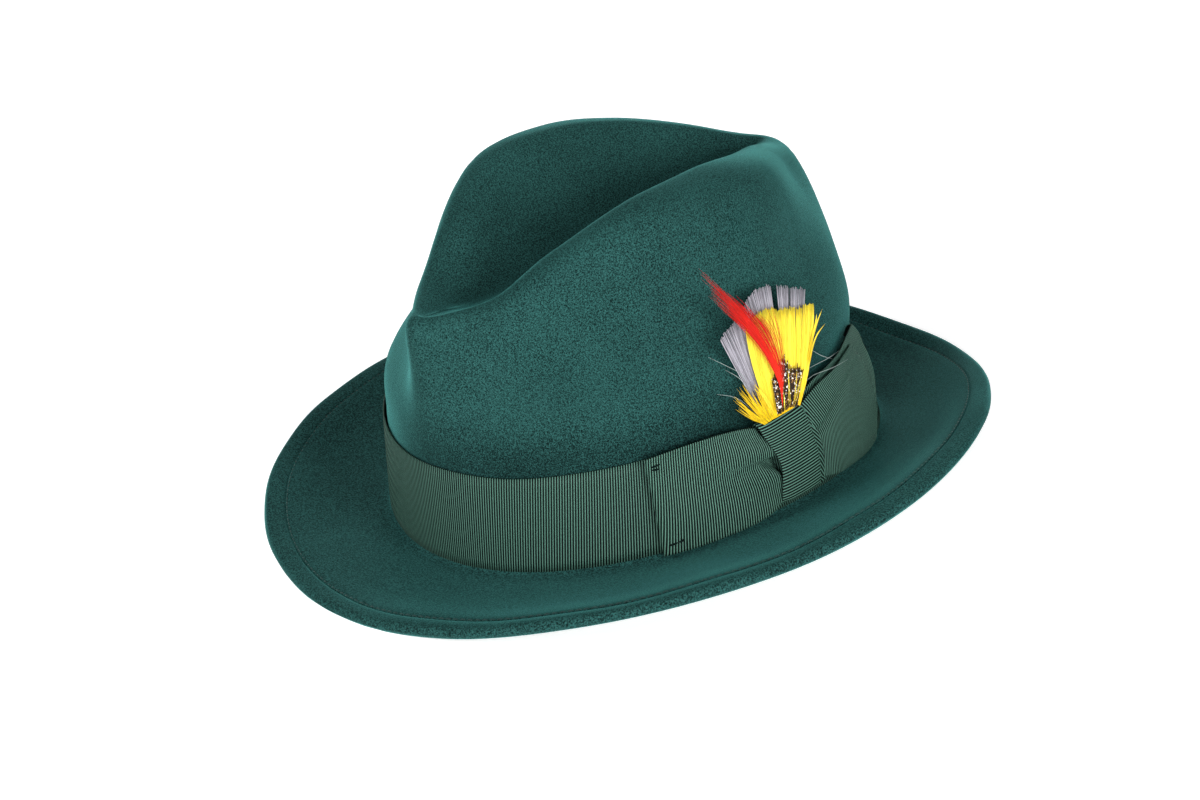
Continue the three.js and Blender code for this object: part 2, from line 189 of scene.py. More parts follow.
def smooth_rows(guides, steps):
    """Catmull-Rom curves through rows of guide points, steps samples for each stretch between rows,
    with knots spaced by the square root of the distances so that short stretches don't loop."""
    ends = [2 * guides[0] - guides[1], *guides, 2 * guides[-1] - guides[-2]]
    rows = [guides[0]]
    for k, count in enumerate(steps):
        p0, p1, p2, p3 = ends[k:k + 4]
        d0, d1, d2 = (np.sqrt(np.linalg.norm(b - a, axis=-1, keepdims=True)) + 1e-6
                      for a, b in ((p0, p1), (p1, p2), (p2, p3)))
        m1 = d1 * ((p1 - p0) / d0 - (p2 - p0) / (d0 + d1) + (p2 - p1) / d1)
        m2 = d1 * ((p2 - p1) / d1 - (p3 - p1) / (d1 + d2) + (p3 - p2) / d2)
        rows += [smooth_cubic(p1, p2, m1, m2, t) for t in np.arange(1, count + 1) / count]
    return np.array(rows)


# %% [markdown]
# ## The shape of the crown and brim
#
# A hatter blocks a hat over wood and presses the dent by hand, so its shape is a smooth form that
# changes all the way round. It could be sculpted, but a table says it better: a row every 20
# degrees gives the ridge's place, how round its crest is, how far the side bellies out or dips in,
# where the dent's floor lies, and how wide and high the brim is. Both sides are alike.

# %% Shape table
STATION_STEP = 20
SHAPE_COLUMNS = (
    "ridge_x", "ridge_y", "ridge_z", "outer_roll", "inner_roll", "belly", "scoop",
    "valley_y", "valley_z", "brim_width", "brim_rise", "seam_rise",
)
SHAPE_ROWS = np.array([
    [0, -98.5, 92.6, 5, 3, 0.3, 0, -88, 91, 50.3, -6.2, -4.4],
    [6.5, -91.5, 92.4, 4.5, 2.5, 1.4, 2, -83, 90, 49.6, -3.3, -1.7],
    [18.8, -75, 96.5, 7, 6, 4, 3.6, -71, 88, 48, 2.6, 3.6],
    [27.7, -55, 109.6, 10, 8, 5.4, 4.4, -52, 89, 46.3, 6.6, 7.6],
    [40.3, -26, 122.8, 14, 8, 5, 3.4, -26, 93, 45.4, 8.6, 10.2],
    [39.1, 6, 124.4, 24, 8, 4.6, 2, 4, 97, 45, 10.8, 13.4],
    [32.7, 32, 120.2, 20, 8, 4.6, -0.4, 28, 99, 44.6, 11.8, 14.4],
    [17.8, 56, 113, 15, 7, 5.4, -5.2, 48, 101, 43.9, 9.2, 11.2],
    [8, 72, 106.8, 14, 5, 1.7, -4.2, 60, 101, 43.1, 3, 3.3],
    [0, 78, 105.6, 9, 4, 1, -0.8, 65, 101, 42.7, -0.2, -0.9],
])


def shape_at(angle):
    """Cubics through the table's rows, whose slope at a row is half the difference of the rows beside it.
    Past both ends the rows go on as their own mirror image, where only ridge_x changes sign."""
    turn = np.degrees(np.arctan2(np.sin(angle), np.cos(angle)))
    place = np.abs(turn) / STATION_STEP
    rows = np.vstack([SHAPE_ROWS[1], SHAPE_ROWS, SHAPE_ROWS[-2]])
    rows[[0, -1], 0] *= -1
    first = np.minimum(place.astype(int), len(SHAPE_ROWS) - 2)
    a, b, c, d = (rows[first + k] for k in range(4))
    t = (place - first)[:, None]
    value = smooth_cubic(b, c, (c - a) / 2, (d - b) / 2, t)
    value[:, 0] *= np.where(turn < 0, -1, 1)
    return dict(zip(SHAPE_COLUMNS, value.T))


def ridge_outward(angle):
    """Direction in plan across the ridge, away from the dent: the ridge line's tangent turned."""
    before, after = shape_at(angle - 1e-3), shape_at(angle + 1e-3)
    out = np.stack([after["ridge_y"] - before["ridge_y"],
                    before["ridge_x"] - after["ridge_x"], 0 * angle], axis=-1)
    return unit(out)


def crest_point(angle, radius, tilt, side):
    """Point on the ridge's round crest: an arc of that radius, tilt degrees above the level."""
    shape = shape_at(angle)
    crest = np.stack([shape["ridge_x"], shape["ridge_y"], BREAK_LIFT + shape["ridge_z"]], axis=-1)
    cos, sin = math.cos(math.radians(tilt)), math.sin(math.radians(tilt))
    return crest + radius[:, None] * (side * cos * ridge_outward(angle) + (sin - 1) * UP)


# %% [markdown]
# ## Guide rows of the felt
#
# At each angle the felt's outer face runs from the dent's floor over the crest, down the side
# and out over the brim. Ten guide points carry the crown, eleven the brim and six the underside
# of the folded edge, and curves are run through them. The seam is a narrow groove near the edge.


# %% Guide rows
def crown_guides(angle):
    """Guide rows from the band's upper edge over belly, shoulder and crest to the dent's floor."""
    shape = shape_at(angle)
    outward = oval_normal(angle)
    band_top = band_point(angle, 1.0, -RIBBON - GAP)
    shoulder = crest_point(angle, shape["outer_roll"], 15, 1)
    lip = crest_point(angle, shape["inner_roll"], 55, -1)
    valley = np.stack([0 * angle, shape["valley_y"], BREAK_LIFT + shape["valley_z"]], axis=-1)
    return [
        band_top,
        mix(band_top, shoulder, 0.27) + outward * shape["belly"][:, None],
        mix(band_top, shoulder, 0.62) - outward * shape["scoop"][:, None],
        shoulder,
        crest_point(angle, shape["outer_roll"], 55, 1),
        crest_point(angle, 0 * angle, 90, 1),
        lip,
        mix(lip, valley, np.array([0.4, 0.4, 0.55])),
        mix(lip, valley, np.array([0.8, 0.8, 0.96])),
        valley,
    ]


def beside_oval(angle, profile):
    """Guide rows beside the head oval. Each pair of the profile is a distance out from the oval and a
    height above the surface that the hat rests on."""
    rows = []
    for out, height in profile:
        row = oval_point(angle) + oval_normal(angle) * np.broadcast_to(out, angle.shape)[:, None]
        row[:, 2] = height
        rows.append(row)
    return rows


def brim_guides(angle):
    """Guide rows of the brim from its edge: over the seam's groove to the crown's foot, and round the
    edge's underside to the hem's cut end."""
    shape = shape_at(angle)
    width = shape["brim_width"]
    seam_out, hem_out = width - SEAM_INSET, width - HEM_WIDTH
    edge, seam = BREAK_LIFT + shape["brim_rise"], BREAK_LIFT + shape["seam_rise"]
    fold = band_foot(angle) - FOLD_DROP
    top = beside_oval(angle, [
        (width, edge),
        (width - 1.2, edge + 0.85 * EDGE_RADIUS),
        (width - 3.5, edge + EDGE_RADIUS),
        (seam_out + 0.6, seam + 0.1),
        (seam_out, seam - GROOVE_DEPTH),
        (seam_out - 0.6, seam + 0.05),
        (width * 0.55, mix(fold, seam, 0.5)),
        (width * 0.25, mix(fold, seam, 0.1)),
        (2.5, fold),
        (0, fold + 0.8),
    ])
    hem = beside_oval(angle, [
        (width, edge),
        (width - 1.2, edge - 0.85 * EDGE_RADIUS),
        (width - 3.5, edge - EDGE_RADIUS),
        (hem_out + 0.5, seam - 2 * FELT),
        (hem_out, seam - 2 * FELT + 0.5),
        (hem_out - 0.3, seam - FELT - 0.3),
    ])
    return top + [band_point(angle, 0.05, -RIBBON - GAP)], hem


# %% [markdown]
# ## Shared shader effects
#
# Felt, ribbon and feather each have a pattern that several materials could use. It could be copied
# into each, but one node group with named inputs is built once and placed with its own values. The
# groups only put out colours, values and normals; the Principled shader stays in the material.


# %% Node helpers
def feed(socket, value):
    """Link a value's socket to an input, or set the input. A colour is given as three numbers."""
    if isinstance(value, bpy.types.NodeSocket):
        socket.id_data.links.new(value, socket)
    elif socket.type == "RGBA":
        socket.default_value = (*value, 1)
    else:
        socket.default_value = value


def feed_all(node, inputs):
    """Feed inputs by name, with underscores for spaces."""
    for name, value in inputs.items():
        feed(node.inputs[name.replace("_", " ")], value)
    return node


def add_node(tree, kind, **inputs):
    """New node of that kind with its inputs fed."""
    return feed_all(tree.nodes.new("ShaderNode" + kind), inputs)


def maths(operation, a, b):
    """Result of a Math node. a and b are numbers or sockets, and one at least is a socket."""
    tree = (a if isinstance(a, bpy.types.NodeSocket) else b).id_data
    node = tree.nodes.new("ShaderNodeMath")
    node.operation = operation
    feed(node.inputs[0], a)
    feed(node.inputs[1], b)
    return node.outputs[0]


def plus(a, b):
    """a + b"""
    return maths("ADD", a, b)


def minus(a, b):
    """a - b"""
    return maths("SUBTRACT", a, b)


def times(a, b):
    """a * b"""
    return maths("MULTIPLY", a, b)


def ramp(value, low, high):
    """Value rising smoothly from 0 at low to 1 at high."""
    node = add_node(value.id_data, "MapRange", Value=value, From_Min=low, From_Max=high)
    node.interpolation_type = "SMOOTHSTEP"
    return node.outputs[0]


def noise(place, scale, detail, **others):
    """Noise value at a place. Detail is how many finer layers are added."""
    node = add_node(place.id_data, "TexNoise", Vector=place, Scale=scale, Detail=detail, **others)
    return node.outputs["Fac"]


def blend_colour(amount, first, second):
    """Colour mixed from first to second by amount."""
    node = amount.id_data.nodes.new("ShaderNodeMix")
    node.data_type = "RGBA"
    for index, value in ((0, amount), (6, first), (7, second)):
        feed(node.inputs[index], value)
    return node.outputs[2]


def new_pattern(name, inputs):
    """Node group with those inputs, which puts out a colour and a normal: its tree and its own inputs."""
    tree = bpy.data.node_groups.new(name, "ShaderNodeTree")
    for label, value in inputs.items():
        kind = "Color" if isinstance(value, tuple) else "Float"
        socket = tree.interface.new_socket(label, in_out="INPUT", socket_type="NodeSocket" + kind)
        socket.default_value = (*value, 1) if kind == "Color" else value
    tree.interface.new_socket("Color", in_out="OUTPUT", socket_type="NodeSocketColor")
    tree.interface.new_socket("Normal", in_out="OUTPUT", socket_type="NodeSocketVector")
    return tree, tree.nodes.new("NodeGroupInput").outputs


def put_out(colour, height, strength, distance):
    """End of a pattern: its colour, and the normal of a surface raised by a height."""
    tree = colour.id_data
    bump = add_node(tree, "Bump", Strength=strength, Distance=distance, Height=height)
    feed_all(tree.nodes.new("NodeGroupOutput"), {"Color": colour, "Normal": bump.outputs[0]})


def lay_numbers(tree):
    """Both numbers of the UV map called Lay."""
    lay = add_node(tree, "UVMap")
    lay.uv_map = "Lay"
    return add_node(tree, "SeparateXYZ", Vector=lay.outputs[0]).outputs[:2]


def new_material(name, **inputs):
    """Material with one Principled shader, whose inputs are fed."""
    material = bpy.data.materials.new(name)
    material.use_nodes = True
    return material, feed_all(material.node_tree.nodes["Principled BSDF"], inputs)


def wear(shader, pattern, **inputs):
    """Place a pattern with its own values beside a shader, for the shader's colour and normal."""
    node = shader.id_data.nodes.new("ShaderNodeGroup")
    node.node_tree = pattern
    feed_all(node, inputs)
    feed_all(shader, {"Base Color": node.outputs["Color"], "Normal": node.outputs["Normal"]})
    return node


# %% [markdown]
# ## Felt
#
# Pressed wool has no weave. Close up it is a mat of short fibres with lighter and darker tufts.
# Noise at three sizes gives the colour: broad cloudy patches from handling, tufts about half a
# millimetre wide, and single fibres, which also lift the surface a little. Just above the band the
# felt is painted darker, as painted shade where the crown's wall turns in over the band. On the
# ironed brim the nap is matted into coarser tufts, and the brim is painted a little darker too, as
# painted shade on its upward face. Both follow the height over the band's edge. The Principled
# shader's sheen stands for the light in the nap, and Layer Weight makes it stronger where the surface
# turns away and more fibres overlap.

# %% Felt pattern
BAND_TOP, BAND_TOP_CURVE = 0.0408, 1.135
felt_pattern, given = new_pattern("felt pattern", {
    "Dark": (0.02, 0.08, 0.075), "Light": (0.04, 0.14, 0.13), "Tuft Scale": 1900.0, "Lift": 0.6})
place = add_node(felt_pattern, "TexCoord").outputs["Object"]
cloud = noise(place, 28, 3)
tuft = noise(place, given["Tuft Scale"], 2, Roughness=0.65)
fibre = noise(place, times(given["Tuft Scale"], 3.1), 2, Distortion=1.5)
grain = plus(times(tuft, 0.6), times(fibre, 0.4))
shade = plus(ramp(grain, 0.39, 0.61), times(minus(cloud, 0.5), 0.5))
x, _, z = add_node(felt_pattern, "SeparateXYZ", Vector=place).outputs
above_band = minus(z, plus(BAND_TOP, times(times(x, x), BAND_TOP_CURVE)))
# Painted shade: the felt is darkened in a strip just above the band, where the crown's wall turns in.
painted_shade_above_band = times(ramp(above_band, -0.004, 0), minus(1, ramp(above_band, 0.002, 0.026)))
shade = minus(shade, times(painted_shade_above_band, 0.32))
# On the brim: coarser matted tufts, and painted shade, as the matting's offset below its mean darkens the
# brim's upward face.
ironed_and_shaded_brim = minus(1, ramp(above_band, -0.04, -0.028))
matting_and_painted_shade = minus(ramp(noise(place, 1250, 3, Roughness=0.7), 0.36, 0.64), 0.58)
shade = plus(shade, times(ironed_and_shaded_brim, times(matting_and_painted_shade, 0.75)))
put_out(blend_colour(shade, given["Dark"], given["Light"]), grain, given["Lift"], 0.0004)

# %% Felt material
felt_material, shader = new_material(
    "felt", Roughness=0.92, Sheen_Tint=(0.2, 0.8, 0.75), Sheen_Roughness=0.45, Specular_IOR_Level=0.04)
facing = add_node(shader.id_data, "LayerWeight", Blend=0.5).outputs["Facing"]
feed(shader.inputs["Sheen Weight"], plus(0.1, times(ramp(facing, 0.45, 1.0), 0.35)))
wear(shader, felt_pattern, Dark=(0.0012, 0.006, 0.0056), Light=(0.018, 0.071, 0.0655))

# %% [markdown]
# ## The felt body
#
# Crown and brim are one piece of felt, so they are one closed mesh. Its outer face is the guide
# rows run through by curves, its inner face lies one felt thickness inside, and the hem joins both.
# Solidify could give the thickness, but it can't fold the edge under or flatten the underside where
# the hat rests. The dent's floor closes like a zip: its last row lies on the middle line, and both
# halves share its points.

# %% Felt body
COLUMNS = 320
WOBBLE = 0.16
CROWN_STEPS = [7, 8, 8, 3, 3, 4, 6, 5, 3]
BRIM_STEPS = [3, 4, 5, 3, 3, 6, 6, 4, 3, 3]
HEM_STEPS = [3, 3, 4, 2, 2]
around = np.arange(COLUMNS) * 2 * np.pi / COLUMNS


def zipped_normals(grid):
    """Grid normals, where a point of the zipped first row takes the mean of both of its halves."""
    normals = grid_normals(grid, wrap=True)
    mirrored = normals[1][-np.arange(COLUMNS) % COLUMNS]
    normals[0] = unit(normals[1] + mirrored)
    return normals


crown = smooth_rows(crown_guides(around), CROWN_STEPS)[::-1]
brim, hem = brim_guides(around)
brim = smooth_rows(brim, BRIM_STEPS)[::-1]
outer_face = np.concatenate([crown, brim])
outer_normals = -zipped_normals(outer_face)
wobble = np.sin(outer_face @ [0.11, 0.07, 0.05]) + np.sin(outer_face @ [-0.06, 0.12, 0.09] + 2)
outer_face[1:] += outer_normals[1:] * wobble[1:, :, None] * WOBBLE
hem = smooth_rows(hem, HEM_STEPS)[1:]
under_rows = len(outer_face) - sum(BRIM_STEPS[:6])
inner_face = (outer_face - outer_normals * FELT)[:under_rows][::-1]
under = np.concatenate([hem, inner_face])
under[..., 2] = np.maximum(under[..., 2], 0)
felt_grid = np.concatenate([outer_face, under])

last = len(felt_grid) - 1
quads = grid_quads(len(felt_grid), COLUMNS, wrap=True)
row, column = quads // COLUMNS, quads % COLUMNS
zipped = (row == 0) | (row == last)
quads = row * COLUMNS + np.where(zipped, np.minimum(column, -column % COLUMNS), column)
used, quads = np.unique(quads, return_inverse=True)
felt_points = felt_grid.reshape(-1, 3)[used]
felt_quads = quads.reshape(-1, 4)[:, ::-1]
make_piece("felt_hat_body", felt_points, felt_quads, felt_material, ["felt_body"])

# %% [markdown]
# ## Ribbed ribbon
#
# Band and bow are one kind of ribbon: thick weft cords run straight across it, so its face is a row
# of round ribs 1 mm apart. From the rib tops the colour falls to near black in the grooves between,
# as painted shade. The ribs could be bump alone, but they show at the ribbon's edges, so the mesh
# has them too. The UV map's first number counts the ribs and its second is the place across in
# millimetres, for the fine warp threads that cross each rib.

# %% Ribbon pattern
RIB_PITCH = 1.01
RIB_LIFT = 0.22
SAMPLES_PER_RIB = 5

ribbon_pattern, given = new_pattern("ribbon pattern", {
    "Groove": (0.01, 0.03, 0.025), "Rib": (0.1, 0.22, 0.17), "Lift": 0.5})
rib_count, across = lay_numbers(ribbon_pattern)
rib = times(plus(maths("COSINE", times(rib_count, 2 * math.pi), 0), 1), 0.5)
place = add_node(ribbon_pattern, "CombineXYZ", X=times(rib_count, 2), Y=times(across, 5))
threads = noise(place.outputs[0], 1, 1)
rib_shade = noise(add_node(ribbon_pattern, "CombineXYZ", X=rib_count).outputs[0], 1, 0)
weave = plus(0.45, plus(times(threads, 0.7), times(rib_shade, 0.4)))
# Painted shade: from the rib tops the colour falls to near black in the grooves.
weave_and_groove_shade = times(ramp(rib, 0.5, 0.97), weave)
put_out(blend_colour(weave_and_groove_shade, given["Groove"], given["Rib"]), plus(rib, times(threads, 0.35)),
        given["Lift"], 0.0002)


def ribbon_material(name, rib):
    """Ribbon material with its own colour on the ribs, and near black painted shade in the grooves."""
    material, shader = new_material(name, Roughness=0.6, Sheen_Weight=0.03, Sheen_Tint=(0.6, 1, 0.8),
                                    Sheen_Roughness=0.15, Specular_IOR_Level=0.08)
    # The near black groove colour is painted shade.
    wear(shader, ribbon_pattern, Groove=(0.0003, 0.002, 0.0016), Rib=rib)
    return material


band_ribbon = ribbon_material("band ribbon", (0.058, 0.137, 0.106))
bow_ribbon = ribbon_material("bow ribbon", (0.067, 0.156, 0.119))


# %% Ribbon mesh
CLOTH_THICKNESS = 0.5


def rib_profile(ribs):
    """Height of the ribs, 0 to 1: the root of a cosine's size, so round tops and narrow grooves."""
    return np.sqrt(np.abs(np.cos(np.pi * ribs)))


def ribbon_piece(name, face, ribs, across, material, stands_for=(), wrap=False):
    """Ribbon from a grid of points whose columns run along it, lifted along the normals by the rib
    profile, with Solidify's thickness behind. ribs counts the ribs, across is in millimetres. A wrapped
    face has one column less than its ribs, which end where they began."""
    lift = RIB_LIFT * rib_profile(ribs[:, :face.shape[1]])
    points = face + grid_normals(face, wrap) * lift[..., None]
    lay = np.stack([ribs, np.broadcast_to(across, ribs.shape)], axis=-1).reshape(-1, 2)
    piece = make_piece(name, points, grid_quads(*face.shape[:2], wrap), material, stands_for,
                       lay[grid_quads(*ribs.shape)])
    solid = piece.modifiers.new("thickness", "SOLIDIFY")
    solid.thickness = CLOTH_THICKNESS * MM
    solid.offset = -1
    solid.use_even_offset = False
    return piece


# %% [markdown]
# ## The hat band
#
# The band is a straight ribbon pulled tight round the crown's foot. Its ends meet under the bow,
# whose knot draws its upper edge down a little. A closed ring of points with a whole number of
# ribs has no seam to hide.

# %% Hat band
RIB_SKEW = 0.152
KNOT_ANGLE, KNOT_DRAW, KNOT_REACH = 88, 0.075, 9


def rib_skew(angle, level):
    """Ribs to add because the ribbon is drawn tight over a rising brim: their tops stay behind on the
    way from the front to the side, by a sine of twice the angle times the height over mid band."""
    return -RIB_SKEW * np.sin(2 * angle) * (level - 0.5) * BAND_HEIGHT / RIB_PITCH


band_length = lengths_along(band_point(np.linspace(0, 2 * np.pi, 721), 0.5))[-1]
RIBS_ROUND = round(band_length / RIB_PITCH)
columns = RIBS_ROUND * SAMPLES_PER_RIB
fine = np.linspace(0, 2 * np.pi, 4 * columns + 1)
travelled = lengths_along(band_point(fine, 0.5))
angle = np.interp(np.arange(columns + 1) / columns * travelled[-1], travelled, fine)
level = np.linspace(0, 1, 11)[:, None]
edge_sway = 0.006 * np.sin(5 * angle + 1) + 0.004 * np.sin(11 * angle)
edge_sway = edge_sway - KNOT_DRAW * bell(np.degrees(angle), KNOT_ANGLE, KNOT_REACH)
face = band_point(angle[None, :], level * (1 + edge_sway), -0.1 - 0.15 * (2 * level - 1) ** 8)
ribs = np.arange(columns + 1) / SAMPLES_PER_RIB + rib_skew(angle, level)
hat_band = ribbon_piece("ribbon_band", face[:, :-1], ribs, level * BAND_HEIGHT, band_ribbon,
                        ["hat_band"], wrap=True)
print("ribs round the band:", RIBS_ROUND)

# %% [markdown]
# ## Ribbon through stations
#
# Each part of the bow is a length of that ribbon led through a few stations: an angle, the heights
# of its two edges and how far it stands out from the band. A cloth simulation could fold it, but a
# hat's bow is pressed and sewn, and a table keeps its exact shape better.


# %% Ribbon through stations
CURVE_STEPS = 24
CROWN_LEAN = 7.0


def through_stations(guides):
    """Grid that follows guide rows by curves, sampled at even lengths along its middle row.
    Gives the grid with its columns along the ribbon, and each column's station number and length."""
    fine = smooth_rows(guides, [CURVE_STEPS] * (len(guides) - 1))
    length = lengths_along(fine[:, fine.shape[1] // 2])
    wanted = np.arange(0, length[-1], RIB_PITCH / SAMPLES_PER_RIB)
    index = np.interp(wanted, length, np.arange(len(fine)))
    low = np.minimum(index.astype(int), len(fine) - 2)
    part = (index - low)[:, None, None]
    face = np.swapaxes(mix(fine[low], fine[low + 1], part), 0, 1)
    return face, index[None, :] / CURVE_STEPS, wanted[None, :]


def bow_guides(stations, levels):
    """Guide rows of a loop. Station columns are the angle and height of the lower edge, the angle and
    height of the upper edge, the distance from the band, and how many degrees and millimetres the
    middle bulges along the band and away from it. Above the band the loop leans out with the crown."""
    columns = np.array(stations).T[:, :, None]
    low_angle, low, high_angle, high, out, bulge, swell = columns
    t = levels[None, :]
    arch = 4 * t * (1 - t)
    height = mix(low, high, t)
    angle = np.radians(mix(low_angle, high_angle, t) + bulge * arch)
    return band_point(angle, height, out + swell * arch + CROWN_LEAN * np.maximum(height - 1.0, 0))


def station_column(stations, column, station):
    """One column of a station table at fractional station numbers."""
    return np.interp(station, np.arange(len(stations)), [row[column] for row in stations])


# %% [markdown]
# ## The bow's front loop
#
# The front loop comes from under the knot, runs forward, folds back at its end and lies against the
# band. The knot gathers it: the cloth dives under the knot along a line that changes with the
# height, late in the upper lobe and early just below the pleat, so that a dark pocket opens there.
# The ribs bend along with that line.

# %% Front loop
FRONT_STATIONS = [
    (74, 0.03, 74, 0.97, 0.5, 0, 0),
    (64, 0.01, 64, 0.99, 0.6, 0, 0),
    (58.8, 0, 58.6, 1, 1, 0, 0),
    (57.3, 0, 57.2, 1.02, 2.3, 0.2, 0),
    (57.9, 0.01, 57.6, 1.04, 3.6, 0.2, 0),
    (64.4, 0, 63.6, 1.065, 3.5, 0, 0.3),
    (71, 0.01, 70.2, 1.07, 3.7, 0, 0.5),
    (77, 0.03, 76.2, 1.055, 4.2, 0, 0.6),
    (81.4, 0.065, 80.6, 1.02, 4.6, 0, 0.4),
    (84.4, 0.115, 83.6, 0.975, 4.4, 0, 0.4),
    (86.4, 0.14, 85.8, 0.93, 3.9, 0, 0.6),
    (89.5, 0.2, 89, 0.86, 2.2, 0, 0),
]
FRONT_PLEAT, LOOP_SKEW = 0.62, 0.06
KNOT_EDGE, DIVE_RUN = 86.2, 3.6
LOWER_DIVE, LOWER_DELAY, LOWER_DEPTH = 80.6, 5.6, 3.4
UPPER_DIVE, UPPER_ADVANCE, UPPER_DEPTH = 85.4, 3.0, 2.0

near_pleat = FRONT_PLEAT + np.linspace(-0.03, 0.03, 9)
levels = np.unique(np.concatenate([np.linspace(0, 1, 44), near_pleat]))
face, station, lengths = through_stations(bow_guides(FRONT_STATIONS, levels))
t = levels[:, None]
outer = smooth_step(station, 4.0, 5.0)
angle = mix(station_column(FRONT_STATIONS, 0, station), station_column(FRONT_STATIONS, 2, station), t)
above = smooth_step(t, FRONT_PLEAT - 0.006, FRONT_PLEAT + 0.006)
lower_dive = LOWER_DIVE + LOWER_DELAY * smooth_step(FRONT_PLEAT - t, 0, 0.34)
lower_dive = lower_dive - 0.5 * smooth_step(0.1 - t, 0, 0.1)
dive = mix(lower_dive, UPPER_DIVE - UPPER_ADVANCE * smooth_step(t, 0.76, 1), above)
depth = mix(LOWER_DEPTH, mix(UPPER_DEPTH, LOWER_DEPTH, smooth_step(t, 0.8, 1)), above)
lobe = 0.9 * bell(t, FRONT_PLEAT + 0.1, 0.11) - 0.5 * bell(t, FRONT_PLEAT - 0.07, 0.06)
push = lobe * smooth_step(angle, 73, 82) - depth * smooth_step(angle, dive, dive + DIVE_RUN)
ripple = 0.22 * np.sin(9 * t + station)
face = face + grid_normals(face) * ((push + ripple) * outer)[..., None]
bend = 0.5 * (KNOT_EDGE - dive) * smooth_step(angle, 70, 84) * outer
turned = smooth_step(station, 1.6, 2.2)
skew = rib_skew(np.radians(angle), t) - LOOP_SKEW * (t - 0.5) * BAND_HEIGHT / RIB_PITCH
ribs = (lengths + bend) / RIB_PITCH + skew * turned
front_loop = ribbon_piece("bow_front_ribbon", face, ribs, t * BAND_HEIGHT, bow_ribbon, ["bow_front_loop"])

# %% [markdown]
# ## The bow's back loop
#
# The back loop runs the other way, fanned out so that its upper edge rises. A crease starts at the
# knot and fades to the rear. Above it the ribs lean with the rising edge, below it the other way. A
# second layer lies behind and shows along the top and the end.

# %% Back loop
BACK_STATIONS = [
    (94.5, 0.22, 94, 0.9, 3, 0, 0),
    (98.6, 0.145, 98.3, 1.03, 4.3, 0, 0.3),
    (103, 0.1, 102.6, 1.11, 4.7, 0, 0.3),
    (108, 0.09, 107.6, 1.135, 4.6, 1, 0.4),
    (113.5, 0.082, 113.2, 1.165, 4.4, 3, 0.5),
    (118.4, 0.085, 118.4, 1.185, 4.2, 5.3, 0.5),
    (121.5, 0.095, 121.9, 1.19, 4, 7, 0.5),
    (122.4, 0.1, 122.7, 1.185, 3.5, 7.5, 0.4),
    (121.9, 0.11, 122.1, 1.175, 3, 7, 0.2),
    (113, 0.13, 113, 1.1, 2.8, 2.5, 0),
]
UNDER_STATIONS = [
    (97, 0.22, 96.6, 1, 2.3, 0, 0),
    (103, 0.17, 102.6, 1.135, 3.1, 0, 0),
    (109, 0.14, 109, 1.178, 3.2, 1, 0),
    (115.5, 0.13, 116.4, 1.222, 3, 3.5, 0),
    (119.6, 0.14, 122, 1.295, 2.8, 6.6, 0.2),
    (121.2, 0.15, 126.4, 1.325, 2.6, 8.6, 1.4),
    (121.6, 0.15, 128.1, 1.33, 2.4, 9.2, 2.4),
    (121.4, 0.16, 127.7, 1.32, 1.2, 9, 2.6),
    (118, 0.18, 124, 1.27, 0.9, 7.6, 0.8),
]
CREASE_START, CREASE_END, CREASE_LEVEL, CREASE_RISE = 100, 118, 0.545, 0.22
LEAN_ABOVE, LEAN_BELOW = 20, -18
HOLLOW_ANGLE, HOLLOW_LEVEL, HOLLOW_DEPTH = 117.5, 0.62, 1.3
UNDER_RIB_LEAN = 2.5

levels = np.linspace(0, 1, 61)
face, station, lengths = through_stations(bow_guides(BACK_STATIONS, levels))
t = levels[:, None]
angle = station_column(BACK_STATIONS, 0, station)
outer = 1 - smooth_step(station, 6.4, 7.0)
crease = CREASE_LEVEL + CREASE_RISE * smooth_step(angle, CREASE_START, 114)
fade = (1 - smooth_step(angle, 109, CREASE_END)) * outer
push = 0.9 * smooth_step(t, crease - 0.012, crease + 0.02) - 1.5 * bell(t, crease, 0.05)
hollow = HOLLOW_DEPTH * bell(angle, HOLLOW_ANGLE, 2.8) * bell(t, HOLLOW_LEVEL, 0.17)
ripple = 0.25 * np.sin(7 * t - 1.3 * station) * smooth_step(station, 2, 4)
face = face + grid_normals(face) * (fade * push + (ripple - hollow) * outer)[..., None]
over = (t - crease) * BAND_HEIGHT
lean = np.tan(np.radians(np.where(over > 0, LEAN_ABOVE, LEAN_BELOW) * outer))
ribs = (lengths + over * lean) / RIB_PITCH
back_loop = ribbon_piece("bow_back_ribbon", face, ribs, t * BAND_HEIGHT, bow_ribbon, ["bow_back_loop"])

levels = np.linspace(0, 1, 30)
face, station, lengths = through_stations(bow_guides(UNDER_STATIONS, levels))
t = levels[:, None]
ribs = lengths / RIB_PITCH + UNDER_RIB_LEAN * t
under_layer = ribbon_piece("bow_under_ribbon", face, ribs, t * BAND_HEIGHT, bow_ribbon)

# %% [markdown]
# ## The knot
#
# A short ribbon goes over the bow's middle from top to bottom and is sewn behind the band, so its
# ribs run level. It bends to the rear at its waist. Its rear side is folded over, which shows as a
# narrow second strip whose ribs lean by 60 degrees.

# %% Knot
KNOT_STATIONS = [
    (0.82, 1.6),
    (0.95, 2.4),
    (1, 4.2),
    (0.985, 5.9),
    (0.88, 6.6),
    (0.52, 6.8),
    (0.22, 6.4),
    (0.14, 5.4),
    (0.11, 3.8),
    (0.15, 2.2),
    (0.28, 1.6),
]
KNOT_WIDTH, KNOT_PITCH, KNOT_SKEW = 21.0, 1.15, 0.09
KNOT_LEFT, KNOT_RIGHT, KNOT_WAIST = 84.2, 98.0, 0.56
STRIP_START, STRIP_DROP, STRIP_COS, STRIP_SIN = 0.775, 1.2, 0.5, 0.866

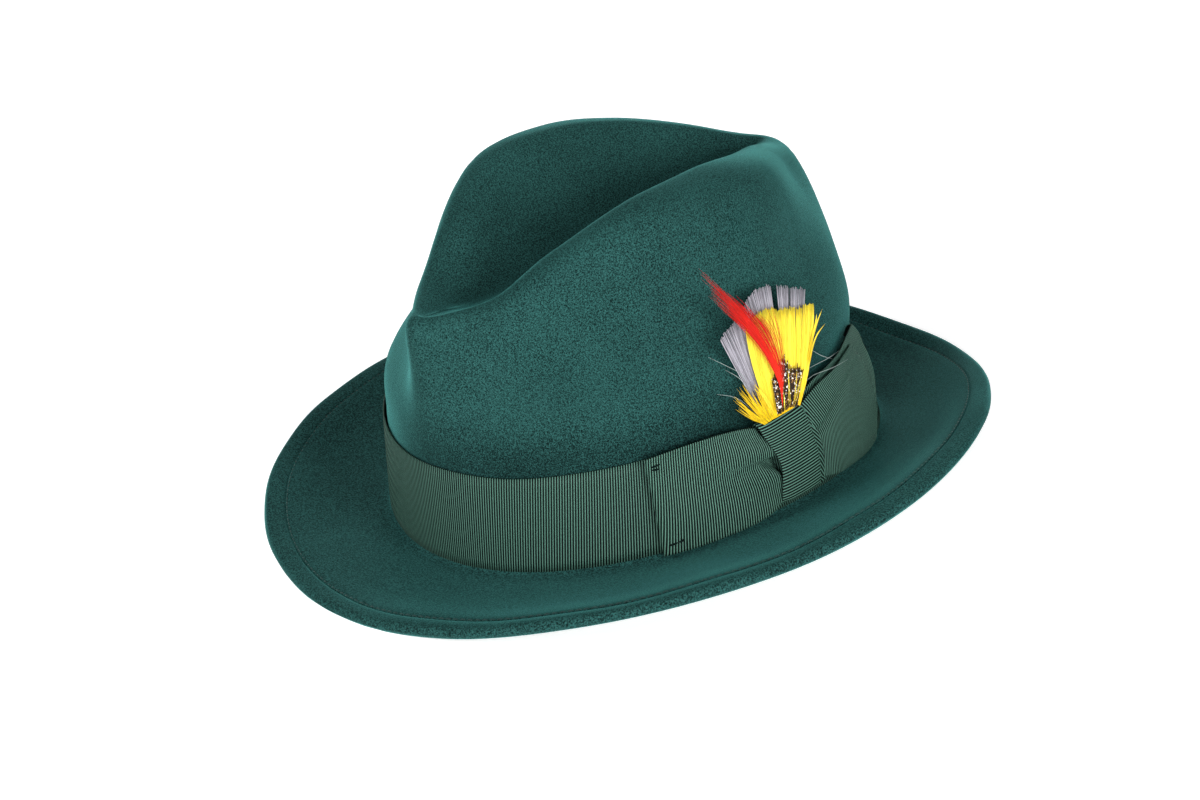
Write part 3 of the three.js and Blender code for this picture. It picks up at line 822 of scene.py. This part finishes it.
side = np.linspace(0, 1, 57)[None, :]
height, out = (np.array(column)[:, None] for column in zip(*KNOT_STATIONS))
left = KNOT_LEFT - 1.6 * (height - KNOT_WAIST) + 2.5 * bell(height, KNOT_WAIST, 0.28)
right = KNOT_RIGHT - 0.9 * (height - KNOT_WAIST) + 2.0 * bell(height, 0.62, 0.3)
edge_drop = 0.9 * np.abs(2 * side - 1) ** 5
angle = np.radians(mix(left, right, side))
face, station, lengths = through_stations(band_point(angle, height, out - edge_drop))
w = side.T
level = np.interp(station, np.arange(len(height)), height[:, 0])
front_part = smooth_step(station, 2.2, 3.2) * (1 - smooth_step(station, 6.8, 7.8))
strip_edge = STRIP_START + 0.085 * smooth_step(level, 0.55, 0.95)
past = smooth_step(w, strip_edge - 0.004, strip_edge + 0.012)
sway = 0.2 * np.sin(5 * w + 0.8 * station)
face = face + grid_normals(face) * ((sway - STRIP_DROP * past) * front_part)[..., None]
strip_ribs = STRIP_COS * lengths - STRIP_SIN * (w - strip_edge) * KNOT_WIDTH
ribs = (mix(lengths, strip_ribs, past) + KNOT_SKEW * KNOT_WIDTH * w) / KNOT_PITCH
knot = ribbon_piece("bow_knot_ribbon", face, ribs, w * KNOT_WIDTH, bow_ribbon, ["bow_knot"])

# %% [markdown]
# ## Strands
#
# Barbs, wisps and sewing thread are thin strands. Blender's hair could draw them, but an export
# loses it, so a strand is a slender closed mesh: a flat ring of points is carried along each path,
# for thousands of strands as one array.


# %% Strand helper
def strand_mesh(paths, half_width, half_depth, facing, sides):
    """Points and faces of closed strands from paths, an array of strands by places by 3. At each place
    a ring of points goes round: path + cos(a) * half width * sideways + sin(a) * half depth * facing."""
    count, places = paths.shape[:2]
    along = unit(np.gradient(paths, axis=1))
    sideways = unit(np.cross(facing, along))
    lift = np.cross(along, sideways)
    turn = 2 * np.pi * np.arange(sides) / sides
    wide = np.broadcast_to(half_width, (count, places))[..., None, None]
    deep = np.broadcast_to(half_depth, (count, places))[..., None, None]
    points = (paths[:, :, None] + np.cos(turn)[:, None] * wide * sideways[:, :, None]
              + np.sin(turn)[:, None] * deep * lift[:, :, None])
    first = np.arange(count)[:, None] * places * sides
    rings = (first + np.arange(places - 1) * sides)[..., None]
    s = np.arange(sides)
    after = (s + 1) % sides
    quads = np.stack([rings + s, rings + after, rings + sides + after, rings + sides + s], axis=-1)
    faces = quads.reshape(-1, 4).tolist()
    faces += (first + s[::-1]).tolist() + (first + (places - 1) * sides + s).tolist()
    return points.reshape(-1, 3), faces


# %% [markdown]
# ## Feather material
#
# A feather's barbs have a silky gloss along them and differ a little from one to the next. The
# UV map holds a shade for each barb and the place along it, so the colour goes from root to tip
# and changes barb by barb. The speckled feather also has pale and golden spots.

# %% Feather pattern
feather_pattern, given = new_pattern("feather pattern", {
    "Root": (0.5, 0.5, 0.5), "Tip": (0.5, 0.5, 0.5), "Shadow": (0.1, 0.1, 0.1), "Turn": 0.5,
    "Variation": 0.5})
own_shade, along = lay_numbers(feather_pattern)
base = blend_colour(ramp(along, 0, given["Turn"]), given["Root"], given["Tip"])
place = add_node(feather_pattern, "CombineXYZ", X=times(own_shade, 90), Y=times(along, 9))
streak = noise(place.outputs[0], 1, 2)
dark = times(given["Variation"], plus(times(streak, 0.6), times(own_shade, 0.5)))
put_out(blend_colour(dark, base, given["Shadow"]), streak, 0.3, 0.0001)


def feather_material(name, root, tip, shadow, turn, variation):
    """Feather material. Turn is where along a barb the tip's colour is reached, and variation is how
    much shadow the darkest barbs and streaks take."""
    material, shader = new_material(name, Roughness=0.6, Sheen_Weight=0.02, Sheen_Roughness=0.4,
                                    Specular_IOR_Level=0.15)
    wear(shader, feather_pattern, Root=root, Tip=tip, Shadow=shadow, Turn=turn, Variation=variation)
    return material, shader


FEATHERS = {
    "grey feather": ((0.26, 0.25, 0.285), (0.52, 0.5, 0.56), (0.05, 0.047, 0.058), 0.7, 1),
    "yellow feather": ((0.78, 0.5, 0.004), (0.88, 0.78, 0.06), (0.46, 0.24, 0.003), 0.5, 0.8),
    "golden tuft": ((0.8, 0.55, 0.006), (0.7, 0.46, 0.006), (0.26, 0.16, 0.005), 0.9, 0.7),
    "red hackle": ((0.86, 0.022, 0.002), (0.5, 0.006, 0.003), (0.2, 0.002, 0.001), 1, 0.9),
    "grey wisp": ((0.2, 0.25, 0.24), (0.28, 0.33, 0.32), (0.1, 0.14, 0.13), 0.9, 0.3),
}
grey_barbs, yellow_barbs, gold_barbs, red_barbs, wisp_barb = (
    feather_material(name, *look)[0] for name, look in FEATHERS.items())

# %% Speckles
speckled_barbs, shader = feather_material(
    "speckled feather", (0.012, 0.006, 0.003), (0.03, 0.013, 0.005), (0.003, 0.002, 0.002), 0.9, 0.7)
place = add_node(shader.id_data, "TexCoord").outputs["Object"]
spotted = shader.inputs["Base Color"].links[0].from_socket
SPOTS = [
    (1700, 0.45, 0.45, (0.34, 0.17, 0.04)),
    (1300, 0.4, 0.6, (0.8, 0.76, 0.7)),
    (700, 0.34, 0.7, (0.9, 0.88, 0.85)),
]
for scale, size, share, colour in SPOTS:
    spots = add_node(shader.id_data, "TexVoronoi", Vector=place, Scale=scale)
    spot = ramp(times(spots.outputs["Distance"], -1), -size, -0.7 * size)
    kind = add_node(shader.id_data, "SeparateXYZ", Vector=spots.outputs["Color"]).outputs["X"]
    spotted = blend_colour(times(spot, ramp(kind, share, share + 0.03)), spotted, colour)
feed(shader.inputs["Base Color"], spotted)

# %% [markdown]
# ## Feathers
#
# The spray is a flat fan of cut feathers: two grey vanes behind, a wide yellow vane, short speckled
# barbs at its foot, a golden tuft and a long red hackle on top. A vane could be one leaf with a
# picture of barbs, but real barbs part, fray and cast fine shadows. So each vane is a table of rows
# across the fan with a barb's foot, middle and tip, and the barbs between two rows are mixes of
# them, bent through those points.

# %% Feather plane
FEATHER_ANGLE, FEATHER_LEAN, FEATHER_STAND_OFF = math.radians(93), math.radians(16), 3.4
outward = oval_normal(np.array(FEATHER_ANGLE))
spray_face = math.cos(FEATHER_LEAN) * outward + math.sin(FEATHER_LEAN) * UP
spray_rise = -math.sin(FEATHER_LEAN) * outward + math.cos(FEATHER_LEAN) * UP
spray_across = np.cross(spray_rise, spray_face)
spray_origin = band_point(FEATHER_ANGLE, 1.0, FEATHER_STAND_OFF)
FOOT_SHIFT, FOOT_LAYER, FOOT_RUN, BARB_SIDES = 0.93, 0.4, 4.0, 4
random = np.random.default_rng(7)


def in_spray(points):
    """Points given across to the rear, up and outwards in the leaning plane, in the hat's frame."""
    return (spray_origin + points[..., 0:1] * spray_across + points[..., 1:2] * spray_rise
            + points[..., 2:3] * spray_face)


def above_knot(height):
    """1 in the open fan, falling to 0 at the height where a barb goes in behind the knot."""
    return 1 - smooth_step(-height, -FOOT_RUN, 0)


def barb_paths(rows, count, layer, gaps=(), fray=0.02, stray=0.15, places=9):
    """Paths of barbs. Row columns are the share of the fan, then foot, middle and tip (across and up).
    At a share u the row is a mix of its neighbours, and the barb is the parabola through its foot,
    middle and tip. Near the foot it runs in behind the knot, FOOT_SHIFT to the rear a millimetre."""
    rows = np.array(rows, float)
    u = (np.arange(count) + 0.5 + random.uniform(-0.3, 0.3, count)) / count
    for low, high in gaps:
        u = u[(u < low) | (u > high)]
    foot, middle, tip = (look_up(u, rows[:, 0], rows[:, k:k + 2]) for k in (1, 3, 5))
    tip = (tip + (tip - middle) * random.normal(0, fray, len(u))[:, None]
           + random.normal(0, stray, tip.shape))
    middle = middle + random.normal(0, stray * 0.5, middle.shape)
    v = np.linspace(0, 1, places)[None, :, None]
    flat = (foot[:, None] * (1 - v) * (1 - 2 * v) + middle[:, None] * 4 * v * (1 - v)
            + tip[:, None] * v * (2 * v - 1))
    lift = mix(FOOT_LAYER * layer, layer, above_knot(flat[..., 1]))
    flat[..., 0] += FOOT_SHIFT * (layer - lift)
    depth = lift + random.normal(0, 0.12, len(u))[:, None] * v[..., 0]
    return np.concatenate([flat, depth[..., None]], axis=-1)


def barb_piece(name, paths, width, taper, material, stands_for=(), thickness=0.07):
    """One mesh for a vane's barbs, each a strand as wide as width that narrows to taper times it."""
    count, places = paths.shape[:2]
    v = np.linspace(0, 1, places)[None, :]
    swell = mix(0.45, 1.0, smooth_step(v, 0, 0.6)) * mix(1.0, taper, smooth_step(v, 0.75, 1.0))
    points, faces = strand_mesh(paths, 0.5 * width * swell, thickness * swell, UP, BARB_SIDES)
    strand, rest = np.divmod(np.array(faces).ravel(), places * BARB_SIDES)
    own_shade = random.uniform(0, 1, count)
    uv = np.stack([own_shade[strand], rest // BARB_SIDES / (places - 1)], axis=-1)
    make_piece(name, in_spray(points), faces, material, stands_for, uv)


# %% Vanes
GREY_BACK_ROWS = [
    (0, -2, -3, -3.6, 20, -6.6, 42),
    (0.1, -1.5, -3, -2.2, 21.5, -3.4, 44.6),
    (0.2, -0.5, -3, 0.4, 22, 1.2, 45.9),
    (0.32, 0.5, -3, 2.6, 22, 5.2, 46.1),
    (0.45, 1.5, -3, 5, 21.5, 9.3, 45.2),
    (0.53, 2, -3, 6.6, 21, 12.3, 44),
    (0.72, 3, -3, 10, 19.5, 18, 41.2),
    (0.78, 3.6, -3, 11.2, 19, 19.4, 40.6),
    (0.88, 4.4, -3, 12.8, 17.8, 22.2, 39.2),
    (1, 5.5, -3, 15.2, 16, 26, 37.6),
]
GREY_LEFT_ROWS = [
    (0, -12, -3, -18.6, 19.5, -22.8, 35.6),
    (0.3, -11.4, -3, -15.4, 20, -18.8, 37.8),
    (0.55, -10.8, -3, -13.4, 20, -15.2, 38.6),
    (0.8, -10.2, -3, -11.8, 20, -12.2, 39.4),
    (1, -9.6, -3, -9.8, 19, -9.4, 37.4),
]
YELLOW_ROWS = [
    (0, -9.2, -3, -12.2, 17, -10.8, 35.2),
    (0.1, -8.2, -3, -9.6, 17.6, -7, 37),
    (0.2, -7.2, -3, -6.8, 18.4, -3.4, 38.2),
    (0.36, -5.4, -3, -2.8, 18.8, 2, 38.4),
    (0.47, -4, -3, 0.4, 18.6, 5.8, 37.8),
    (0.5, -3.6, -3, 1.2, 18.4, 7, 36),
    (0.64, -1.8, -3, 5.6, 17.8, 11.8, 35.2),
    (0.84, 1.2, -3, 12, 16.2, 19.8, 32.4),
    (0.85, 1.4, -3, 12.4, 16.2, 20.8, 33.2),
    (1, 3, -3, 17.4, 14.8, 25.8, 31.8),
]
TUFT_ROWS = [
    (0, -13, -3, -19.6, 3.2, -26, 9.6),
    (0.2, -12.6, -3, -19, 4.6, -24.8, 12.4),
    (0.45, -12, -3, -17.2, 6.4, -22, 15.8),
    (0.7, -11.4, -3, -14.8, 5.6, -17, 12.4),
    (0.85, -10.8, -3, -12.8, 5, -14.4, 15.4),
    (1, -10.2, -3, -11.4, 3.6, -12, 9),
]
SPECKLED_ROWS = [
    (0, -8.6, -3, -7.2, 5.6, -5.8, 13.6),
    (0.2, -6.4, -3, -4.6, 6.4, -3, 14.8),
    (0.38, -4, -3, -1.8, 8, 0.2, 18.6),
    (0.52, -2.4, -3, 0.4, 9, 3.4, 19.4),
    (0.64, -1.2, -3, 1.8, 7.4, 4.6, 14.4),
    (0.8, 0.2, -3, 4, 6, 8, 13.6),
    (1, 1.8, -3, 5.8, 5, 10.4, 11.2),
]
RED_ROWS = [
    (0, -5.8, 3, -6.2, 23, -20.8, 47.4),
    (0.25, -5.4, 5, -6, 25.2, -22.8, 52.6),
    (0.55, -5, 6, -5.4, 27.4, -24, 60.4),
    (0.72, -4.4, 7, -4.2, 28, -19.4, 53.4),
    (0.84, -4, 8, -3, 28.4, -14.2, 48.6),
    (0.92, -3.6, 8.5, -1.4, 27.4, -9, 43.6),
    (0.96, -3.2, 9, 0.6, 26, -2.6, 38.6),
    (0.985, -2.6, 10, 2.2, 25, 3.3, 38.8),
    (1, -2.2, 10.5, 2.4, 22, 3.6, 33.6),
]

BACK_GAPS = [(0.455, 0.53), (0.725, 0.755), (0.868, 0.892)]
LEFT_GAPS = [(0.3, 0.325), (0.56, 0.58), (0.75, 0.765)]
barb_piece("grey_vane_back", barb_paths(GREY_BACK_ROWS, 170, 0.4, BACK_GAPS), 0.36, 0.8, grey_barbs,
           ["feather_grey_back"])
barb_piece("grey_vane_left", barb_paths(GREY_LEFT_ROWS, 84, 1.5, LEFT_GAPS), 0.32, 0.8, grey_barbs,
           ["feather_grey_left"])
barb_piece("yellow_vane", barb_paths(YELLOW_ROWS, 240, 2.7, stray=0.2), 0.46, 0.6, yellow_barbs,
           ["feather_yellow"])
barb_piece("golden_tuft", barb_paths(TUFT_ROWS, 40, 3.6, fray=0.22, stray=0.7), 0.42, 0.1, gold_barbs,
           ["feather_tuft"])
barb_piece("speckled_barbs", barb_paths(SPECKLED_ROWS, 110, 3.7, fray=0.08, stray=0.35), 0.5, 0.6,
           speckled_barbs, ["feather_speckled"])
barb_piece("red_hackle", barb_paths(RED_ROWS, 96, 5.0, fray=0.1, stray=0.65, places=13), 0.26, 0.1,
           red_barbs, ["feather_red"])

# %% [markdown]
# ## Loose strands
#
# A few strands leave the vanes: pointed yellow splits at the rear, yellow barbs crossing the
# speckles, and long pale wisps. Each is a smooth curve through four to seven points.


# %% Loose strands
LOOSE_PLACES = 13


def loose_paths(lines, out, spread=0.0, copies=1):
    """Paths through the points of each line, copies times, each copy shifted a little at its root."""
    made = []
    fade = 1 - np.linspace(0, 1, LOOSE_PLACES)[:, None] ** 2
    for line in lines:
        curve = smooth_rows(np.array(line)[:, None], [6] * (len(line) - 1))[:, 0]
        wanted = np.linspace(0, len(curve) - 1, LOOSE_PLACES)
        flat = look_up(wanted, np.arange(len(curve)), curve)
        for _ in range(copies):
            shift = random.normal(0, spread, 2)
            dip = mix(FOOT_LAYER * out, out + random.normal(0, 0.1), above_knot(flat[:, 1:]))
            path = flat + shift * fade + FOOT_SHIFT * (out - dip) * [1, 0]
            made.append(np.concatenate([path, dip], axis=1))
    return np.array(made)


YELLOW_SPLITS = [
    [(14.6, 13.5), (19.6, 20), (24.6, 25.2), (28.9, 28.8)],
    [(14.6, 12.4), (18.6, 17.4), (22.6, 20.8), (28.2, 23.2)],
    [(18, 18.4), (21.2, 22.2), (23.6, 25.2), (25.4, 28.2)],
    [(-9, -3), (-9.6, 3.4), (-11.4, 9.6), (-14.6, 15.4)],
    [(-9.6, -3), (-10.6, 4), (-12.4, 9.6), (-15.4, 14.2)],
]
YELLOW_OVER = [
    [(-3, -1), (-0.8, 4), (0.9, 9), (2.2, 14.4)],
    [(-1.6, -1), (1.4, 3.6), (4, 8), (6.6, 12.8)],
    [(-0.6, -1), (2.6, 3.2), (5.6, 7), (9, 11.6)],
    [(-5.8, -1), (-4.6, 2), (-3.6, 5), (-2.8, 8)],
]
WISPS = [
    [(-15.2, 10), (-17, 16.6), (-19.4, 21.6), (-24, 25.9), (-31.8, 32.5)],
    [(-15, 8.6), (-17.2, 14.2), (-20.3, 20.2), (-25.6, 25.3)],
    [(-15, 2), (-18.4, 6.6), (-22.6, 12.3), (-26.8, 15.6), (-32.8, 18.6)],
    [(16, 18.6), (19.1, 15.8), (22.6, 12.5), (27.1, 9.7)],
    [(11, 10), (14.3, 10.6), (19.6, 10.6), (25.2, 10.5), (31.7, 11)],
    [(0, -3), (4, 1.9), (9.2, 5.9), (15.6, 7.4), (23.1, 6.6), (29.4, 6.2), (35.4, 6.4)],
]
barb_piece("yellow_splits", loose_paths(YELLOW_SPLITS, 3.3, 0.4, 6), 0.3, 0.15, yellow_barbs)
barb_piece("yellow_over", loose_paths(YELLOW_OVER, 4.6, 0.4, 3), 0.2, 0.3, yellow_barbs)
barb_piece("grey_wisps", loose_paths(WISPS, 2.6), 0.2, 0.35, wisp_barb, thickness=0.09)

# %% [markdown]
# ## Sewing thread
#
# The folded brim edge is topstitched in its groove, and the bow's front loop is tacked to the
# band by a few short stitches at its end. A stitch is a strand that dips into the felt at both
# ends, and the same thread runs on along the underside.

# %% Thread
STITCH_PITCH, STITCH_SHARE = 2.9, 0.8
STITCH_TAPER = np.array([0.6, 0.9, 1, 1, 1, 0.9, 0.6])
SEAM_RADIUS, TACK_HALF_WIDTH, TACK_HALF_DEPTH = 0.18, 0.432, 0.36
THREAD_SIDES = 6


def thread_material(name, sheen, specular, dark, light):
    """Thread whose two plies show as fine stripes of a darker and a lighter colour."""
    material, shader = new_material(name, Roughness=0.6, Sheen_Weight=sheen, Sheen_Tint=(0.6, 1.0, 0.9),
                                    Sheen_Roughness=0.4, Specular_IOR_Level=specular)
    place = add_node(shader.id_data, "TexCoord").outputs["Object"]
    twist = add_node(shader.id_data, "TexWave", Scale=1500.0, Distortion=1.0, Vector=place)
    feed(shader.inputs["Base Color"], blend_colour(twist.outputs["Fac"], dark, light))
    return material


def stitches(line, out):
    """Paths of running stitches along a closed line: even pieces of its length, each bowed outward by
    the top half of a sine so that its ends dip in."""
    closed, outs = np.concatenate([line, line[:1]]), np.concatenate([out, out[:1]])
    length = lengths_along(closed)
    count = round(length[-1] / STITCH_PITCH)
    part = np.linspace(0, STITCH_SHARE, len(STITCH_TAPER))
    wanted = (np.arange(count)[:, None] + part[None, :]) / count * length[-1]
    bow = 0.45 * np.sin(np.pi * part / STITCH_SHARE) - 0.15
    return look_up(wanted, length, closed) + look_up(wanted, length, outs) * bow[None, :, None]


seam_thread = thread_material("seam thread", 0.2, 0.25, (0.003, 0.014, 0.013), (0.009, 0.04, 0.037))
tack_thread = thread_material("tack thread", 0.0, 0.03, (0.0008, 0.002, 0.002), (0.002, 0.008, 0.007))

seam_row = len(crown) + sum(BRIM_STEPS[5:])
over_line = outer_face[seam_row]
under_line = over_line.copy()
under_line[:, 2] = np.maximum(felt_grid[len(outer_face) + sum(HEM_STEPS[:3]) - 2][:, 2], 0.25)
below = stitches(under_line, np.broadcast_to([0, 0, -0.2], under_line.shape))
paths = np.concatenate([stitches(over_line, outer_normals[seam_row]), below])
radius = SEAM_RADIUS * STITCH_TAPER
points, faces = strand_mesh(paths, radius, radius, UP, THREAD_SIDES)
make_piece("seam_stitches", points, faces, seam_thread)

TACKS = [
    (58.3, 60.3, 0.955, 0.965),
    (58.4, 59.8, 0.925, 0.92),
    (58.6, 60.4, 0.115, 0.12),
    (60.9, 61.9, 0.12, 0.135),
]
start_angle, end_angle, start_height, end_height = np.array(TACKS).T[:, :, None]
t = np.linspace(0, 1, len(STITCH_TAPER))
angle = np.radians(mix(start_angle, end_angle, t))
paths = band_point(angle, mix(start_height, end_height, t), 4.0 + 0.35 * np.sin(np.pi * t))
points, faces = strand_mesh(paths, TACK_HALF_WIDTH * STITCH_TAPER, TACK_HALF_DEPTH * STITCH_TAPER,
                            UP, THREAD_SIDES)
make_piece("bow_tacks", points, faces, tack_thread)

# %% [markdown]
# ## Stage, camera and light
#
# The hat lies on a plain pale floor in a bright studio. The floor glows a little, as white paper
# does under its own lamps, so it stays white while the hat's light can be soft. The camera stands
# where the photograph was taken from: 50 degrees round from the front towards the bow, 26 degrees
# up, with a long lens, and turned a little about its own axis.

# %% Floor
FLOOR_HALF = 9
floor_material, _ = new_material(
    "pale floor", Roughness=0.7, Specular_IOR_Level=0.25, Base_Color=(0.88, 0.88, 0.88),
    Emission_Color=(1, 1, 1), Emission_Strength=0.5)
floor_mesh = bpy.data.meshes.new("floor")
corners = [(FLOOR_HALF * x, FLOOR_HALF * y, 0) for x, y in ((-1, -1), (1, -1), (1, 1), (-1, 1))]
floor_mesh.from_pydata(corners, [], [(0, 1, 2, 3)])
floor_mesh.materials.append(floor_material)
add_object("floor", floor_mesh)

# %% Camera
CAMERA_AZIMUTH, CAMERA_ELEVATION = math.radians(50), math.radians(26.1)
CAMERA_ROLL, CAMERA_DISTANCE = math.radians(-5.44), 1.3
FOCAL_PIXELS, IMAGE_WIDTH = 3305.9, 1200
TARGET_PIXEL_RIGHT, TARGET_PIXEL_DOWN = 38.9, 47.2


def direction(azimuth, elevation):
    """Unit direction from the hat: azimuth from the front to the wearer's left, elevation upward."""
    level = math.cos(elevation)
    return np.array([math.sin(azimuth) * level, -math.cos(azimuth) * level, math.sin(elevation)])


def aim(thing, place, look, upward):
    """Put a camera or light at place, with its -Z along look and its Y near upward."""
    back = -look / np.linalg.norm(look)
    right = unit(np.cross(upward, back))
    matrix = np.eye(4)
    matrix[:3] = np.stack([right, np.cross(back, right), back, place], axis=1)
    thing.matrix_world = matrix.T


target = np.array([0.0, CENTRE_Y, BREAK_LIFT]) * MM
back = direction(CAMERA_AZIMUTH, CAMERA_ELEVATION)
level_right = np.array([math.cos(CAMERA_AZIMUTH), math.sin(CAMERA_AZIMUTH), 0])
level_up = np.cross(back, level_right)
right = math.cos(CAMERA_ROLL) * level_right + math.sin(CAMERA_ROLL) * level_up
up = math.cos(CAMERA_ROLL) * level_up - math.sin(CAMERA_ROLL) * level_right
look = -back - TARGET_PIXEL_RIGHT / FOCAL_PIXELS * right + TARGET_PIXEL_DOWN / FOCAL_PIXELS * up
camera_data = bpy.data.cameras.new("camera")
camera_data.sensor_width = 36
camera_data.lens = FOCAL_PIXELS / IMAGE_WIDTH * camera_data.sensor_width
camera_data.clip_start, camera_data.clip_end = 0.05, 50
camera = add_object("camera", camera_data)
aim(camera, target + back * CAMERA_DISTANCE, look, up)
bpy.context.scene.camera = camera
print("lens: %.1f mm" % camera_data.lens)

# %% [markdown]
# ## Studio light
#
# The photograph has broad soft light from the camera's side and a white surround. Five square area
# lights aim at the hat: two low ones, beside the camera and to its right, give the form, one higher
# up in front fills the crown's dent, and two weak ones behind draw the edges. The world adds only a
# little, so that the shadows in the folds stay dark.


# %% Lights
LIGHT_TARGET = np.array([0, 0, 0.06])
LIGHT_DISTANCE, LIGHT_SIZE = 1.9, 0.8
LIGHTS = [
    ("right softbox", 90, 13, 35),
    ("main softbox", 42, 13, 35),
    ("upper front fill", -12, 34, 24),
    ("rear right fill", 125, 30, 7),
    ("rear left rim", 230, 14, 12),
]
for name, azimuth, elevation, power in LIGHTS:
    light = bpy.data.lights.new(name, "AREA")
    light.shape, light.size, light.energy = "SQUARE", LIGHT_SIZE, power
    toward = direction(math.radians(azimuth), math.radians(elevation))
    aim(add_object(name, light), LIGHT_TARGET + toward * LIGHT_DISTANCE, -toward, UP)

world = bpy.data.worlds.new("studio")
world.use_nodes = True
bpy.context.scene.world = world
feed_all(world.node_tree.nodes["Background"], {"Color": (1, 1, 1), "Strength": 0.05})
bpy.context.scene.view_settings.view_transform = "Standard"
